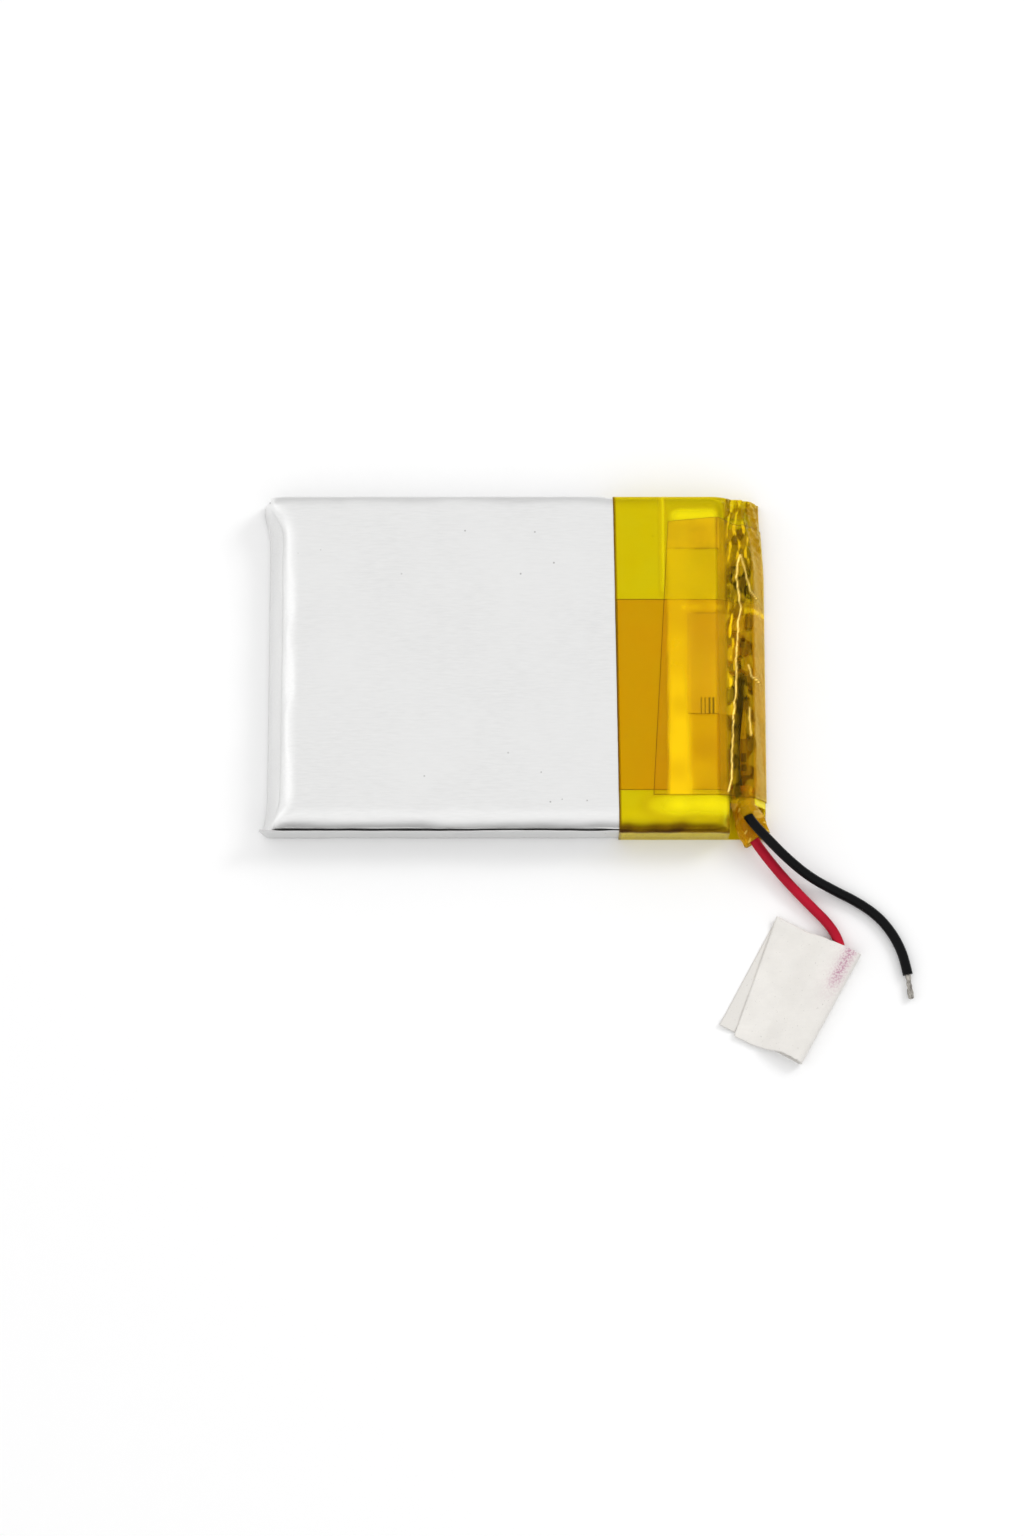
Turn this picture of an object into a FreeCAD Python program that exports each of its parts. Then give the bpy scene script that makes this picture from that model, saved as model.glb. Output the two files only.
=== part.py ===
"""Lithium-polymer pouch cell with its protection board, leads and polyimide tape.

X runs along the cell (+X is the end with the leads), Y across it and Z up.
The origin is at the middle of the pack's underside. Lengths are in millimetres.
"""
import FreeCAD, Part
import math
import os
import Sketcher

Vector = FreeCAD.Vector
doc = FreeCAD.newDocument("pouch_battery_pack")
sheet = doc.addObject("Spreadsheet::Sheet", "Sizes")

DIMENSIONS = [
    # pouch
    ("film", 0.11),
    ("pouch_bottom", 0.12),
    ("cup_left", -24.75),
    ("cup_right", 21.3),
    ("cup_top_left", -23.3),
    ("cup_top_right", 21.2),
    ("cup_width", 33.5),
    ("cup_top_width", 33.2),
    ("cup_top", 4.8),
    ("cup_edge_radius", 1.5),
    ("cup_corner_radius", 1.8),
    ("ear_left", -25.32),
    ("flap_right", 21.7),
    ("flap_height", 3.5),
    ("flap_gap", 0.17),
    ("terrace_near", -13.5),
    ("terrace_far", 16.3),
    ("lip_fold_x", 24.97),
    ("lip_fold_z", 0.55),
    ("lip_top_x", 23.85),
    ("lip_top_z", 2.6),
    # electrodes, wound flat about a line along X
    ("roll_left", -22.2),
    ("roll_right", 19.7),
    ("roll_straight", 28.4),
    ("roll_core", 0.2),
    ("roll_pitch", 0.33),
    ("roll_turns", 6),
    ("electrode_thickness", 0.13),
    ("separator_thickness", 0.025),
    ("layer_gap", 0.005),
    ("separator_overhang", 0.4),
    ("roll_tape_width", 8.0),
    ("roll_tape_thickness", 0.03),
    # tabs
    ("tab_width", 3.0),
    ("tab_thickness", 0.06),
    ("tab_offset", 5.6),
    ("tab_start", 15.0),
    ("seal_film", 0.04),
    ("seal_film_width", 4.4),
    ("bridge_width", 4.9),
    # protection board
    ("board_left", 21.5),
    ("board_width", 2.3),
    ("board_near", -10.8),
    ("board_length", 24.0),
    ("board_bottom", 0.6),
    ("board_thickness", 0.6),
    ("pad_thickness", 0.1),
    ("chip_length", 3.6),
    ("chip_width", 1.5),
    ("chip_height", 0.9),
    ("chip_standoff", 0.1),
    ("chip_middle", 8.95),
    ("mosfet_middle", -1.9),
    ("mosfet_length", 2.4),
    ("insulation_near", -13.0),
    ("insulation_length", 28.0),
    # polyimide tape
    ("tape", 0.06),
    ("wrap_left", 10.0),
    ("pack_half_width", 17.2),
    ("round_start", 20.25),
    ("canopy_round_x", 21.3),
    ("canopy_round_z", 4.3),
    ("canopy_edge_x", 23.95),
    ("canopy_edge_z", 3.05),
    ("nose_x", 25.16),
    ("nose_z", 0.62),
    ("nose_foot_x", 24.95),
    ("end_strip_near", -13.0),
    ("end_strip_far", 6.4),
    ("board_tape_left", 13.9),
    ("board_tape_near", -13.0),
    ("board_tape_far", 14.3),
    ("short_strip_left", 16.5),
    ("short_strip_near", -5.3),
    ("short_strip_far", 5.0),
    ("exit_notch_left", 21.1),
    ("exit_notch_far", -14.4),
    # leads
    ("lead_diameter", 1.0),
    ("lead_bore", 0.52),
    ("strand_diameter", 0.5),
    ("tip_diameter", 0.6),
    ("tip_length", 2.5),
    # masking tape folded over the end of the red lead
    ("flag_tape", 0.12),
    ("flag_length", 12.4),
    ("flag_width", 9.2),
    ("flag_front_width", 7.8),
    ("flag_tent_width", 3.0),
    ("flag_tent_height", 1.3),
]


def fill_sheet():
    for row, (alias, value) in enumerate(DIMENSIONS, start=1):
        address = f"A{row}"
        sheet.set(address, str(value))
        sheet.setAlias(address, alias)
    doc.recompute()


def size(alias):
    return float(sheet.get(alias))


def formula(text):
    """An expression in which every alias of the sheet is written with the sheet's name."""
    names = sorted((alias for alias, _ in DIMENSIONS), key=len, reverse=True)
    words = []
    word = ""
    for letter in text + " ":
        if letter.isalnum() or letter == "_":
            word += letter
            continue
        words.append(f"Sizes.{word}" if word in names else word)
        words.append(letter)
        word = ""
    return "".join(words).strip()


def value_of(text):
    result = sheet.evalExpression(formula(text))
    return float(getattr(result, "Value", result))


def box(label, x, y, z):
    """A box between two expressions along each axis."""
    item = doc.addObject("Part::Box", label)
    item.Label = label
    for axis, side, (low, high) in (("x", "Length", x), ("y", "Width", y), ("z", "Height", z)):
        item.setExpression(side, formula(f"({high}) - ({low})"))
        item.setExpression(f"Placement.Base.{axis}", formula(low))
    return item


def combine(kind, label, first, *others):
    """Part::Cut of two objects, or Part::MultiFuse of several."""
    item = doc.addObject(kind, label)
    item.Label = label
    item.Refine = False
    if kind == "Part::MultiFuse":
        item.Shapes = [first, *others]
    else:
        item.Base = first
        item.Tool = others[0]
    return item


def feature(label, shape, placement=None):
    item = doc.addObject("Part::Feature", label)
    item.Label = label
    item.Shape = shape
    if placement:
        item.Placement = placement
    return item


def sketch_outline(body, name, plane, points, height="0"):
    """A closed outline whose corners are bound to expressions, on a plane of the body."""
    sketch = body.newObject("Sketcher::SketchObject", name)
    planes = {item.Role: item for item in body.Origin.OriginFeatures}
    sketch.AttachmentSupport = [(planes[plane], "")]
    sketch.MapMode = "FlatFace"
    sketch.setExpression("AttachmentOffset.Base.z", formula(height))
    corners = [Vector(value_of(x), value_of(y), 0) for x, y in points]
    for start, end in zip(corners, corners[1:] + corners[:1]):
        sketch.addGeometry(Part.LineSegment(start, end))
    count = len(corners)
    for index in range(count):
        after = (index + 1) % count
        sketch.addConstraint(Sketcher.Constraint("Coincident", index, 2, after, 1))
    for index, (point, corner) in enumerate(zip(points, corners)):
        for kind, text, value in zip(("DistanceX", "DistanceY"), point, (corner.x, corner.y)):
            place = sketch.addConstraint(Sketcher.Constraint(kind, -1, 1, index, 1, value))
            sketch.setExpression(f"Constraints[{place}]", formula(text))
    return sketch


def rectangle(x, y):
    return [(x[0], y[0]), (x[1], y[0]), (x[1], y[1]), (x[0], y[1])]


def padded_body(label, plane, points, length, height="0"):
    """A body made by padding an outline to both sides of a plane."""
    body = doc.addObject("PartDesign::Body", label)
    body.Label = label
    sketch = sketch_outline(body, f"{label}_outline", plane, points, height)
    pad = body.newObject("PartDesign::Pad", f"{label}_pad")
    pad.Profile = sketch
    pad.Midplane = True
    pad.setExpression("Length", formula(length))
    return body


def edges_where(shape, test):
    """Names of the edges whose two ends both pass a test."""
    names = []
    for number, edge in enumerate(shape.Edges, start=1):
        if all(test(vertex.Point) for vertex in edge.Vertexes):
            names.append(f"Edge{number}")
    return names


# --- bent strips -------------------------------------------------------------------------

def offset_path(path, distance):
    """The path moved to its left by a distance, with mitred corners."""
    moved = []
    last = len(path) - 1
    for index, (x, z) in enumerate(path):
        before = path[max(index - 1, 0)], path[max(index, 1)]
        after = path[min(index, last - 1)], path[min(index + 1, last)]
        turns = []
        for start, end in (before, after):
            length = math.dist(start, end)
            turns.append(((start[1] - end[1]) / length, (end[0] - start[0]) / length))
        (ax, az), (bx, bz) = turns
        scale = distance / (1 + ax * bx + az * bz)
        moved.append((x + (ax + bx) * scale, z + (az + bz) * scale))
    return moved


def bent_strip(path, layer, y_range):
    """The solid between two offsets of an XZ path, from one Y to another."""
    outline = offset_path(path, layer[0]) + offset_path(path, layer[1])[::-1]
    corners = [Vector(x, y_range[0], z) for x, z in outline]
    face = Part.Face(Part.makePolygon(corners + corners[:1]))
    return face.extrude(Vector(0, y_range[1] - y_range[0], 0))


def seal_path(start):
    """Where the two films meet: along the terrace, round its fold and up the lip."""
    level = size("pouch_bottom") + size("film")
    return [(start, level), (24.7, level), (size("lip_fold_x"), size("lip_fold_z")),
            (size("lip_top_x"), size("lip_top_z"))]


# --- pouch -------------------------------------------------------------------------------

def cup_block(inset):
    """The drawn cup as a solid, tapered and rounded, drawn in all round by an inset."""
    bottom = size("pouch_bottom") + size("film")
    rings = []
    for left, right, width, height in (
            ("cup_left", "cup_right", "cup_width", bottom),
            ("cup_top_left", "cup_top_right", "cup_top_width", size("cup_top") - inset)):
        half = size(width) / 2 - inset
        low, high = size(left) + inset, size(right) - inset
        corners = [Vector(low, -half, height), Vector(high, -half, height),
                   Vector(high, half, height), Vector(low, half, height)]
        rings.append(Part.makePolygon(corners + corners[:1]))
    block = Part.makeLoft(rings, True, True)
    rising = [edge for edge in block.Edges if edge.BoundBox.ZLength > 1]
    block = block.makeFillet(size("cup_corner_radius") - inset, rising)
    roof = [edge for edge in block.Edges if edge.BoundBox.ZMin > size("cup_top") - inset - 0.01]
    return block.makeFillet(size("cup_edge_radius") - inset, roof)


def split_at_tape(block):
    """The same solid, with its faces divided just short of the tape."""
    seam = size("wrap_left") - 0.2
    halves = []
    for left, right in ((-40, seam), (seam, 40)):
        half = Part.makeBox(right - left, 60, 20, Vector(left, -30, -5))
        halves.append(block.common(half))
    return halves[0].fuse(halves[1])


def cup_shell():
    """The cup: the outer block less the inner one, which is the film's thickness smaller."""
    outer = feature("cup_outer", split_at_tape(cup_block(0)))
    inner = feature("cup_inner", cup_block(size("film")))
    return combine("Part::Cut", "cup_shell", outer, inner)


def make_pouch_cup():
    """The cup, its flat seal, the upright side seams and the raised bridges over the tabs."""
    level = "pouch_bottom + film"
    upper = "pouch_bottom + 2 * film"
    wall = "cup_width / 2"
    seam = "cup_width / 2 + flap_gap"
    pieces = [cup_shell()]
    for side, sign in (("near", -1), ("far", 1)):
        inner, outer = f"{wall} - film", f"{seam} + film"
        foot = (inner, outer) if sign > 0 else (f"-({outer})", f"-({inner})")
        upright = (seam, outer) if sign > 0 else (f"-({outer})", f"-({seam})")
        pieces.append(box(f"cup_seal_{side}", ("ear_left", "flap_right"), foot, (level, upper)))
        pieces.append(box(f"cup_seam_{side}", ("ear_left", "flap_right"), upright,
                          (level, f"{level} + flap_height")))
    pieces.append(box("cup_seal_fold", ("cup_left - film", "cup_left + film"),
                      (f"-({wall})", wall), (level, upper)))
    tab_space = 2 * size("seal_film") + size("tab_thickness")
    terrace = (size("terrace_near"), size("terrace_far"))
    start = size("cup_right") - size("film")
    pieces.append(feature("cup_terrace", bent_strip(seal_path(start), (0, size("film")), terrace)))
    slots = []
    for name, middle in tab_places():
        half = size("bridge_width") / 2
        bridge = bent_strip(seal_path(start), (0, tab_space + size("film")),
                            (middle - half, middle + half))
        pieces.append(feature(f"cup_bridge_{name}", bridge))
        half = size("seal_film_width") / 2
        slot = bent_strip(seal_path(start - 1), (-0.005, tab_space), (middle - half, middle + half))
        slots.append(feature(f"cup_slot_{name}", slot))
    whole = combine("Part::MultiFuse", "cup_with_bridges", *pieces)
    slotted = combine("Part::Cut", "cup_with_one_slot", whole, slots[0])
    return combine("Part::Cut", "pouch_cup", slotted, slots[1])


def make_pouch_cover():
    """The flat half: the underside, the outer layer of the side seams, terrace and lip."""
    level = "pouch_bottom + film"
    outer = "cup_width / 2 + flap_gap + 2 * film"
    split = "wrap_left - 0.2"
    end = "cup_right"
    faces = ("pouch_bottom", level)
    side = (f"-({outer})", outer)
    pieces = [box("cover_back", ("cup_left - film", split), side, faces),
              box("cover_under_tape", (split, end), side, faces)]
    for name, sign in (("near", -1), ("far", 1)):
        inner = f"{outer} - film"
        upright = (inner, outer) if sign > 0 else (f"-({outer})", f"-({inner})")
        pieces.append(box(f"cover_seam_{name}", ("ear_left", "flap_right"), upright,
                          ("pouch_bottom", f"{level} + flap_height")))
    terrace = (size("terrace_near"), size("terrace_far"))
    pieces.append(feature("cover_terrace",
                          bent_strip(seal_path(size(end)), (-size("film"), 0), terrace)))
    return combine("Part::MultiFuse", "pouch_cover", *pieces)


# --- electrodes --------------------------------------------------------------------------

def roll_middle():
    level = size("pouch_bottom") + size("film")
    return (level + size("cup_top") - size("film")) / 2


def spiral_run(offset, turns):
    """Edges of a flattened spiral: straight runs joined by half circles, wound outward."""
    half = size("roll_straight") / 2
    pitch = size("roll_pitch")
    middle = roll_middle()
    edges = []
    for turn in range(turns):
        top = size("roll_core") + offset + turn * pitch
        under = top - pitch / 2
        after = top + pitch / 2
        edges.append(Part.LineSegment(Vector(0, -half, middle - under),
                                      Vector(0, half, middle - under)))
        edges.append(Part.Arc(Vector(0, half, middle - under),
                              Vector(0, half + (top + under) / 2, middle + (top - under) / 2),
                              Vector(0, half, middle + top)))
        edges.append(Part.LineSegment(Vector(0, half, middle + top),
                                      Vector(0, -half, middle + top)))
        if turn < turns - 1:
            edges.append(Part.Arc(Vector(0, -half, middle + top),
                                  Vector(0, -half - (top + after) / 2, middle + (top - after) / 2),
                                  Vector(0, -half, middle - after)))
    return edges


def wound_layer(offset, thickness, x_range):
    """One strip of the roll: the band between two spirals, carried along X."""
    turns = int(size("roll_turns"))
    inner = spiral_run(offset, turns)
    outer = spiral_run(offset + thickness, turns)
    first = Part.LineSegment(inner[0].StartPoint, outer[0].StartPoint)
    last = Part.LineSegment(inner[-1].EndPoint, outer[-1].EndPoint)
    edges = [curve.toShape() for curve in [*inner, last, *outer, first]]
    wire = Part.Wire(Part.__sortEdges__(edges))
    band = Part.Face(wire).extrude(Vector(x_range[1] - x_range[0], 0, 0))
    band.translate(Vector(x_range[0], 0, 0))
    return band


def make_roll():
    """Anode, cathode and two separators between them, and the tape that ends the winding."""
    electrode = size("electrode_thickness")
    separator = size("separator_thickness")
    gap = size("layer_gap")
    margin = size("separator_overhang")
    left, right = size("roll_left"), size("roll_right")
    second = electrode + gap
    third = second + separator + gap
    fourth = third + electrode + gap
    anode = wound_layer(0, electrode, (left + margin, right - margin))
    cathode = wound_layer(third, electrode, (left + 2 * margin, right - 2 * margin))
    films = [wound_layer(place, separator, (left, right)) for place in (second, fourth)]
    top = size("roll_core") + fourth + separator + (size("roll_turns") - 1) * size("roll_pitch")
    tape = box("roll_end_tape", ("roll_left + 6", "roll_right - 6"),
               ("-roll_straight / 2", "roll_tape_width - roll_straight / 2"), ("0", "0.03"))
    tape.setExpression("Placement.Base.z", formula(f"{roll_middle() + top:.4f}"))
    tape.setExpression("Height", formula("roll_tape_thickness"))
    return [feature("anode_strip", anode), feature("cathode_strip", cathode),
            feature("separator_strips", Part.makeCompound(films)), tape]


# --- tabs --------------------------------------------------------------------------------

def tab_places():
    return (("negative", size("tab_offset")), ("positive", -size("tab_offset")))


def tab_path():
    """From the core of the roll, down inside the cup, out along the seal and onto the board."""
    core = roll_middle() + 0.01
    landing = (size("board_bottom") + size("board_thickness") + size("pad_thickness")
               + size("seal_film") + size("tab_thickness"))
    start = size("cup_right")
    seal = seal_path(start - 0.3)
    return [(size("tab_start"), core), (start - 0.6, core), *seal,
            (23.72, 2.84), (23.45, 2.8), (23.25, landing), (21.65, landing)]


def make_tabs():
    low = size("seal_film")
    high = low + size("tab_thickness")
    items = []
    for name, middle in tab_places():
        half = size("tab_width") / 2
        strip = bent_strip(tab_path(), (low, high), (middle - half, middle + half))
        items.append(feature(f"{name}_tab", strip))
    return items


def make_seal_films():
    """Polypropylene films above and below each tab where it crosses the seal."""
    low = size("seal_film")
    high = low + size("tab_thickness")
    films = []
    for _, middle in tab_places():
        half = size("seal_film_width") / 2
        sides = (middle - half, middle + half)
        for layer in ((0, low), (high, high + low)):
            films.append(bent_strip(seal_path(size("cup_right") - 0.1), layer, sides))
    return feature("tab_seal_films", Part.makeCompound(films))


# --- protection board --------------------------------------------------------------------

BOARD_TOP = "board_bottom + board_thickness"
BOARD_MIDDLE = "board_left + board_width / 2"


def make_board():
    """A narrow board that lies along the terrace."""
    return padded_body("protection_board", "XY_Plane",
                        rectangle(("board_left", "board_left + board_width"),
                                  ("board_near", "board_near + board_length")),
                        "board_thickness", "board_bottom + board_thickness / 2")


def make_nickel_pads():
    """Nickel plates soldered to the board, onto which the tabs are welded."""
    pads = []
    for name, middle in (("negative", "tab_offset"), ("positive", "-tab_offset")):
        pads.append(box(f"nickel_pad_{name}", ("board_left + 0.15", "board_left + 1.75"),
                        (f"{middle} - tab_width / 2", f"{middle} + tab_width / 2"),
                        (BOARD_TOP, f"{BOARD_TOP} + pad_thickness")))
    return pads


def make_chip(name, middle, length):
    """A moulded chip with chamfered top edges, held clear of the board by its leads."""
    foot = f"{BOARD_TOP} + chip_standoff"
    body = padded_body(name, "XY_Plane",
                       rectangle((f"{BOARD_MIDDLE} - chip_width / 2",
                                  f"{BOARD_MIDDLE} + chip_width / 2"),
                                 (f"{middle} - {length} / 2", f"{middle} + {length} / 2")),
                       "chip_height - chip_standoff", f"{foot} + (chip_height - chip_standoff) / 2")
    doc.recompute()
    pad = body.Tip
    top = pad.Shape.BoundBox.ZMax
    chamfer = body.newObject("PartDesign::Chamfer", f"{name}_chamfer")
    chamfer.Base = (pad, edges_where(pad.Shape, lambda point: point.z > top - 0.01))
    chamfer.Size = 0.12
    return body


def make_chip_leads(name, middle, pitch):
    """Six gull-wing leads, three along each long side of a chip."""
    leads = []
    side = value_of(f"{BOARD_MIDDLE}")
    half = size("chip_width") / 2
    base = value_of(BOARD_TOP)
    outline = [(half, base + 0.42), (half + 0.14, base + 0.42), (half + 0.22, base + 0.05),
               (half + 0.42, base + 0.05)]
    for place in (-pitch, 0, pitch):
        y = value_of(middle) + place
        strip = bent_strip(outline, (-0.05, 0.05), (y - 0.15, y + 0.15))
        for angle in (0, 180):
            lead = strip.copy()
            lead.rotate(Vector(0, y, 0), Vector(0, 0, 1), angle)
            lead.translate(Vector(side, 0, 0))
            leads.append(lead)
    return feature(name, Part.makeCompound(leads))


def make_small_parts():
    """Two resistors and a capacitor, each a ceramic block with a tinned cap at both ends."""
    items = []
    places = (("chip_resistor_1", "-9.0", 0.8), ("chip_resistor_2", "-10.05", 0.6),
              ("chip_capacitor", "2.9", 0.9))
    for name, middle, length in places:
        x = (f"{BOARD_MIDDLE} + 0.1", f"{BOARD_MIDDLE} + 0.6")
        y = (f"{middle} - {length} / 2", f"{middle} + {length} / 2")
        items.append(box(name, x, y, (BOARD_TOP, f"{BOARD_TOP} + 0.35")))
    return items


def make_insulation():
    """Insulating paper between the terrace and the board, lying on the tab bridges."""
    return box("terrace_insulation_strip", ("cup_right + 0.1", "cup_right + 3.2"),
               ("insulation_near", "insulation_near + insulation_length"),
               ("board_bottom - 0.09", "board_bottom - 0.01"))


# --- leads -------------------------------------------------------------------------------

# Middle lines of the two leads, from the board to their free ends.
BLACK_ROUTE = [(22.6, -0.7, 2.65), (22.55, -3.0, 2.7), (22.25, -5.6, 2.75), (22.0, -8.2, 2.82),
               (22.05, -10.9, 2.8), (22.5, -13.4, 2.65), (23.25, -15.5, 2.95),
               (25.0, -17.45, 2.95), (27.2, -19.6, 2.35), (29.45, -21.3, 1.55),
               (31.85, -22.5, 0.87), (34.25, -23.65, 0.57), (36.25, -25.05, 0.52),
               (37.6, -26.7, 0.52), (38.45, -28.3, 0.52), (38.9, -29.75, 0.52),
               (39.15, -31.0, 0.52)]
RED_ROUTE = [(21.85, -8.3, 1.75), (21.85, -10.1, 1.75), (22.0, -11.9, 1.6), (22.4, -13.8, 1.35),
             (23.0, -15.9, 1.3), (24.25, -18.0, 1.35), (25.85, -20.1, 1.15), (27.75, -22.25, 0.9),
             (29.7, -24.25, 0.72), (31.2, -25.75, 0.66), (32.2, -27.3, 0.66),
             (32.65, -29.1, 0.66), (32.45, -31.0, 0.66), (31.55, -32.65, 0.66)]


def lead_wire(name, route):
    """Straight runs joined by arcs that are tangent to both of them."""
    points = [Vector(*point) for point in route]
    edges = []
    radii = []
    start = points[0]
    for before, corner, after in zip(points, points[1:], points[2:]):
        back = before - corner
        ahead = after - corner
        half_turn = (math.pi - back.getAngle(ahead)) / 2
        reach = 0.45 * min(back.Length, ahead.Length)
        back.normalize()
        ahead.normalize()
        radius = reach / math.tan(half_turn)
        radii.append(round(radius, 1))
        inward = (back + ahead).normalize()
        deepest = corner + inward * (radius / math.cos(half_turn) - radius)
        entry = corner + back * reach
        leave = corner + ahead * reach
        edges.append(Part.LineSegment(start, entry).toShape())
        edges.append(Part.Arc(entry, deepest, leave).toShape())
        start = leave
    edges.append(Part.LineSegment(start, points[-1]).toShape())
    print(name, "radii", radii, "length", round(sum(edge.Length for edge in edges), 2))
    return Part.Wire(edges)


def tube_along(wire, diameter):
    """A round rod along a wire; its volume must be its section times its length."""
    start = wire.Edges[0].Vertexes[0].Point
    direction = wire.Edges[0].tangentAt(wire.Edges[0].FirstParameter)
    circle = Part.Wire(Part.Circle(start, direction, diameter / 2).toShape())
    rod = wire.makePipeShell([circle], True, False)
    expected = math.pi * diameter ** 2 / 4 * wire.Length
    if abs(rod.Volume / expected - 1) > 0.01:
        raise RuntimeError("a lead's volume is not its section times its length")
    return rod


def make_lead(name, route, pad_end, tip_end):
    """The insulation, and the strands with a bare stretch at the board and a tinned tip."""
    wire = lead_wire(name, route)
    outside = tube_along(wire, size("lead_diameter"))
    insulation = outside.cut(tube_along(wire, size("lead_bore")))
    strands = tube_along(wire, size("strand_diameter"))
    bare = [(pad_end, route[0], size("strand_diameter"))]
    if tip_end:
        bare.append((route[-1], tip_end, size("tip_diameter")))
    for start, end, diameter in bare:
        along = Vector(*end) - Vector(*start)
        rod = Part.makeCylinder(diameter / 2, along.Length, Vector(*start), along)
        strands = strands.fuse(rod)
    return [feature(f"{name}_insulation", insulation), feature(f"{name}_conductor", strands)]


def make_solder(name, centre, radii, lead_end, route_start):
    """A solder mound on the board round the bare end of a lead."""
    mound = Part.makeSphere(1)
    scale = FreeCAD.Matrix()
    scale.scale(*radii)
    mound = mound.transformGeometry(scale)
    mound.translate(Vector(*centre))
    below = Part.makeBox(6, 6, 6, Vector(centre[0] - 3, centre[1] - 3, value_of(BOARD_TOP) - 6))
    along = Vector(*route_start) - Vector(*lead_end)
    rod = Part.makeCylinder(size("strand_diameter") / 2 + 0.005, along.Length,
                            Vector(*lead_end), along)
    return feature(name, mound.cut(below).cut(rod))


def make_leads():
    pad_z = value_of(BOARD_TOP) + size("strand_diameter") / 2 + 0.02
    black_pad = (22.7, 0.9, pad_z)
    red_pad = (21.85, -7.6, pad_z)
    last = Vector(*BLACK_ROUTE[-1])
    direction = Vector(0.11, -0.994, 0)
    tip = tuple(last + direction * size("tip_length"))
    items = make_lead("black_lead", BLACK_ROUTE, black_pad, tip)
    items += make_lead("red_lead", RED_ROUTE, red_pad, None)
    items.append(make_solder("black_lead_solder", (22.7, 0.9, pad_z - 0.1), (0.5, 0.7, 0.42),
                             black_pad, BLACK_ROUTE[0]))
    items.append(make_solder("red_lead_solder", (21.85, -7.72, pad_z - 0.1), (0.42, 0.5, 0.42),
                             red_pad, RED_ROUTE[0]))
    return items


# --- tape --------------------------------------------------------------------------------

def canopy_path():
    """Over the cell, down to the folded lip, round the nose and back under the cell."""
    left = size("wrap_left")
    return [(left, size("cup_top")), (size("round_start"), size("cup_top")),
            (size("canopy_round_x"), size("canopy_round_z")),
            (size("canopy_edge_x"), size("canopy_edge_z")), (size("nose_x"), size("nose_z")),
            (size("nose_foot_x"), size("pouch_bottom")), (left, size("pouch_bottom"))]


def make_wrap_tape():
    """A sleeve of tape round the end of the cell, open at the corner where the leads leave."""
    thickness = size("tape")
    half = size("pack_half_width")
    path = canopy_path()
    inner = bent_block(path, half - thickness)
    outer = bent_block([(path[0][0], path[0][1] + thickness), *offset_path(path, thickness)[1:-1],
                        (path[-1][0], path[-1][1] - thickness)], half)
    notch = Part.makeBox(6, 6, 8, Vector(size("exit_notch_left"), size("exit_notch_far") - 6, 0.3))
    return feature("polyimide_wrap_tape", outer.cut(inner).cut(notch))


def bent_block(path, half_width):
    """The solid that a closed XZ outline encloses, with its long top edges rounded."""
    corners = [Vector(x, -half_width, z) for x, z in path]
    block = Part.Face(Part.makePolygon(corners + corners[:1]))
    block = block.extrude(Vector(0, 2 * half_width, 0))
    top = max(z for _, z in path)
    edges = [edge for edge in block.Edges
             if all(vertex.Z > top - 0.01 for vertex in edge.Vertexes)
             and abs(edge.Vertexes[0].Y - edge.Vertexes[1].Y) < 0.01]
    return block.makeChamfer(size("cup_edge_radius") / 2.2, edges)


def tape_strip(label, path, layer, y_from, y_to):
    thickness = size("tape")
    strip = bent_strip(path, (layer * thickness, (layer + 1) * thickness),
                       (size(y_from), size(y_to)))
    return feature(label, strip)


def make_tape_strips():
    """Three shorter strips of tape, one on another, over the wrap."""
    path = canopy_path()
    board = [(size("board_tape_left"), size("cup_top")), *path[1:5]]
    short = [(size("short_strip_left"), size("cup_top")), *path[1:3], (22.1, 3.923)]
    return [tape_strip("polyimide_end_strip", path, 1, "end_strip_near", "end_strip_far"),
            tape_strip("polyimide_board_tape", board, 2, "board_tape_near", "board_tape_far"),
            tape_strip("polyimide_short_strip", short, 3, "short_strip_near",
                       "short_strip_far")]


def make_exit_tape():
    """Tape gathered round both leads at the corner; its upper half is cut back."""
    thickness = size("tape")
    solids = []
    for extra in (thickness, 0):
        rings = []
        for (x, y, z), across, up in (((22.62, -13.75, 2.0), 1.2, 1.3),
                                      ((23.15, -15.6, 2.1), 1.35, 1.5),
                                      ((24.2, -17.5, 1.6), 1.2, 0.95)):
            heading = Vector(0.25 * len(rings), -1, 0)
            rings.append(ring_across((x, y, z), heading, across + extra, up + extra))
        solids.append(Part.makeLoft(rings, True, False))
    tube = solids[0].cut(solids[1])
    upper = Part.makeBox(6, 6, 4, Vector(21, -21.6, 2.3))
    return feature("lead_exit_tape", tube.cut(upper))


def ring_across(centre, direction, across, up):
    """An oval wire that faces a level direction: its width is level and its height upright."""
    count = 16
    side = Vector(-direction.y, direction.x, 0).normalize()
    points = []
    for step in range(count):
        angle = 2 * math.pi * step / count
        points.append(Vector(*centre) + side * (across * math.cos(angle))
                      + Vector(0, 0, up * math.sin(angle)))
    curve = Part.BSplineCurve()
    curve.interpolate(points, PeriodicFlag=True)
    return Part.Wire(curve.toShape())


def make_flag():
    """Masking tape folded back on itself round the end of the red lead."""
    tape = size("flag_tape")
    height = size("flag_tent_height")
    tent = size("flag_tent_width")
    path = [(-size("flag_width"), 0), (-0.3, 0), (0, 0.3), (0, height - 0.3),
            (-0.3, height), (-tent, height), (-tent - 2.2, 2 * tape + 0.02),
            (-size("flag_front_width"), 2 * tape + 0.02)]
    shape = bent_strip(path, (0, tape), (0, size("flag_length")))
    turn = FreeCAD.Rotation(Vector(0, 0, 1), -29.1)
    return feature("masking_tape_flag", shape, FreeCAD.Placement(Vector(28.35, -39.95, 0), turn))


# --- assembly ----------------------------------------------------------------------------

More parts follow.
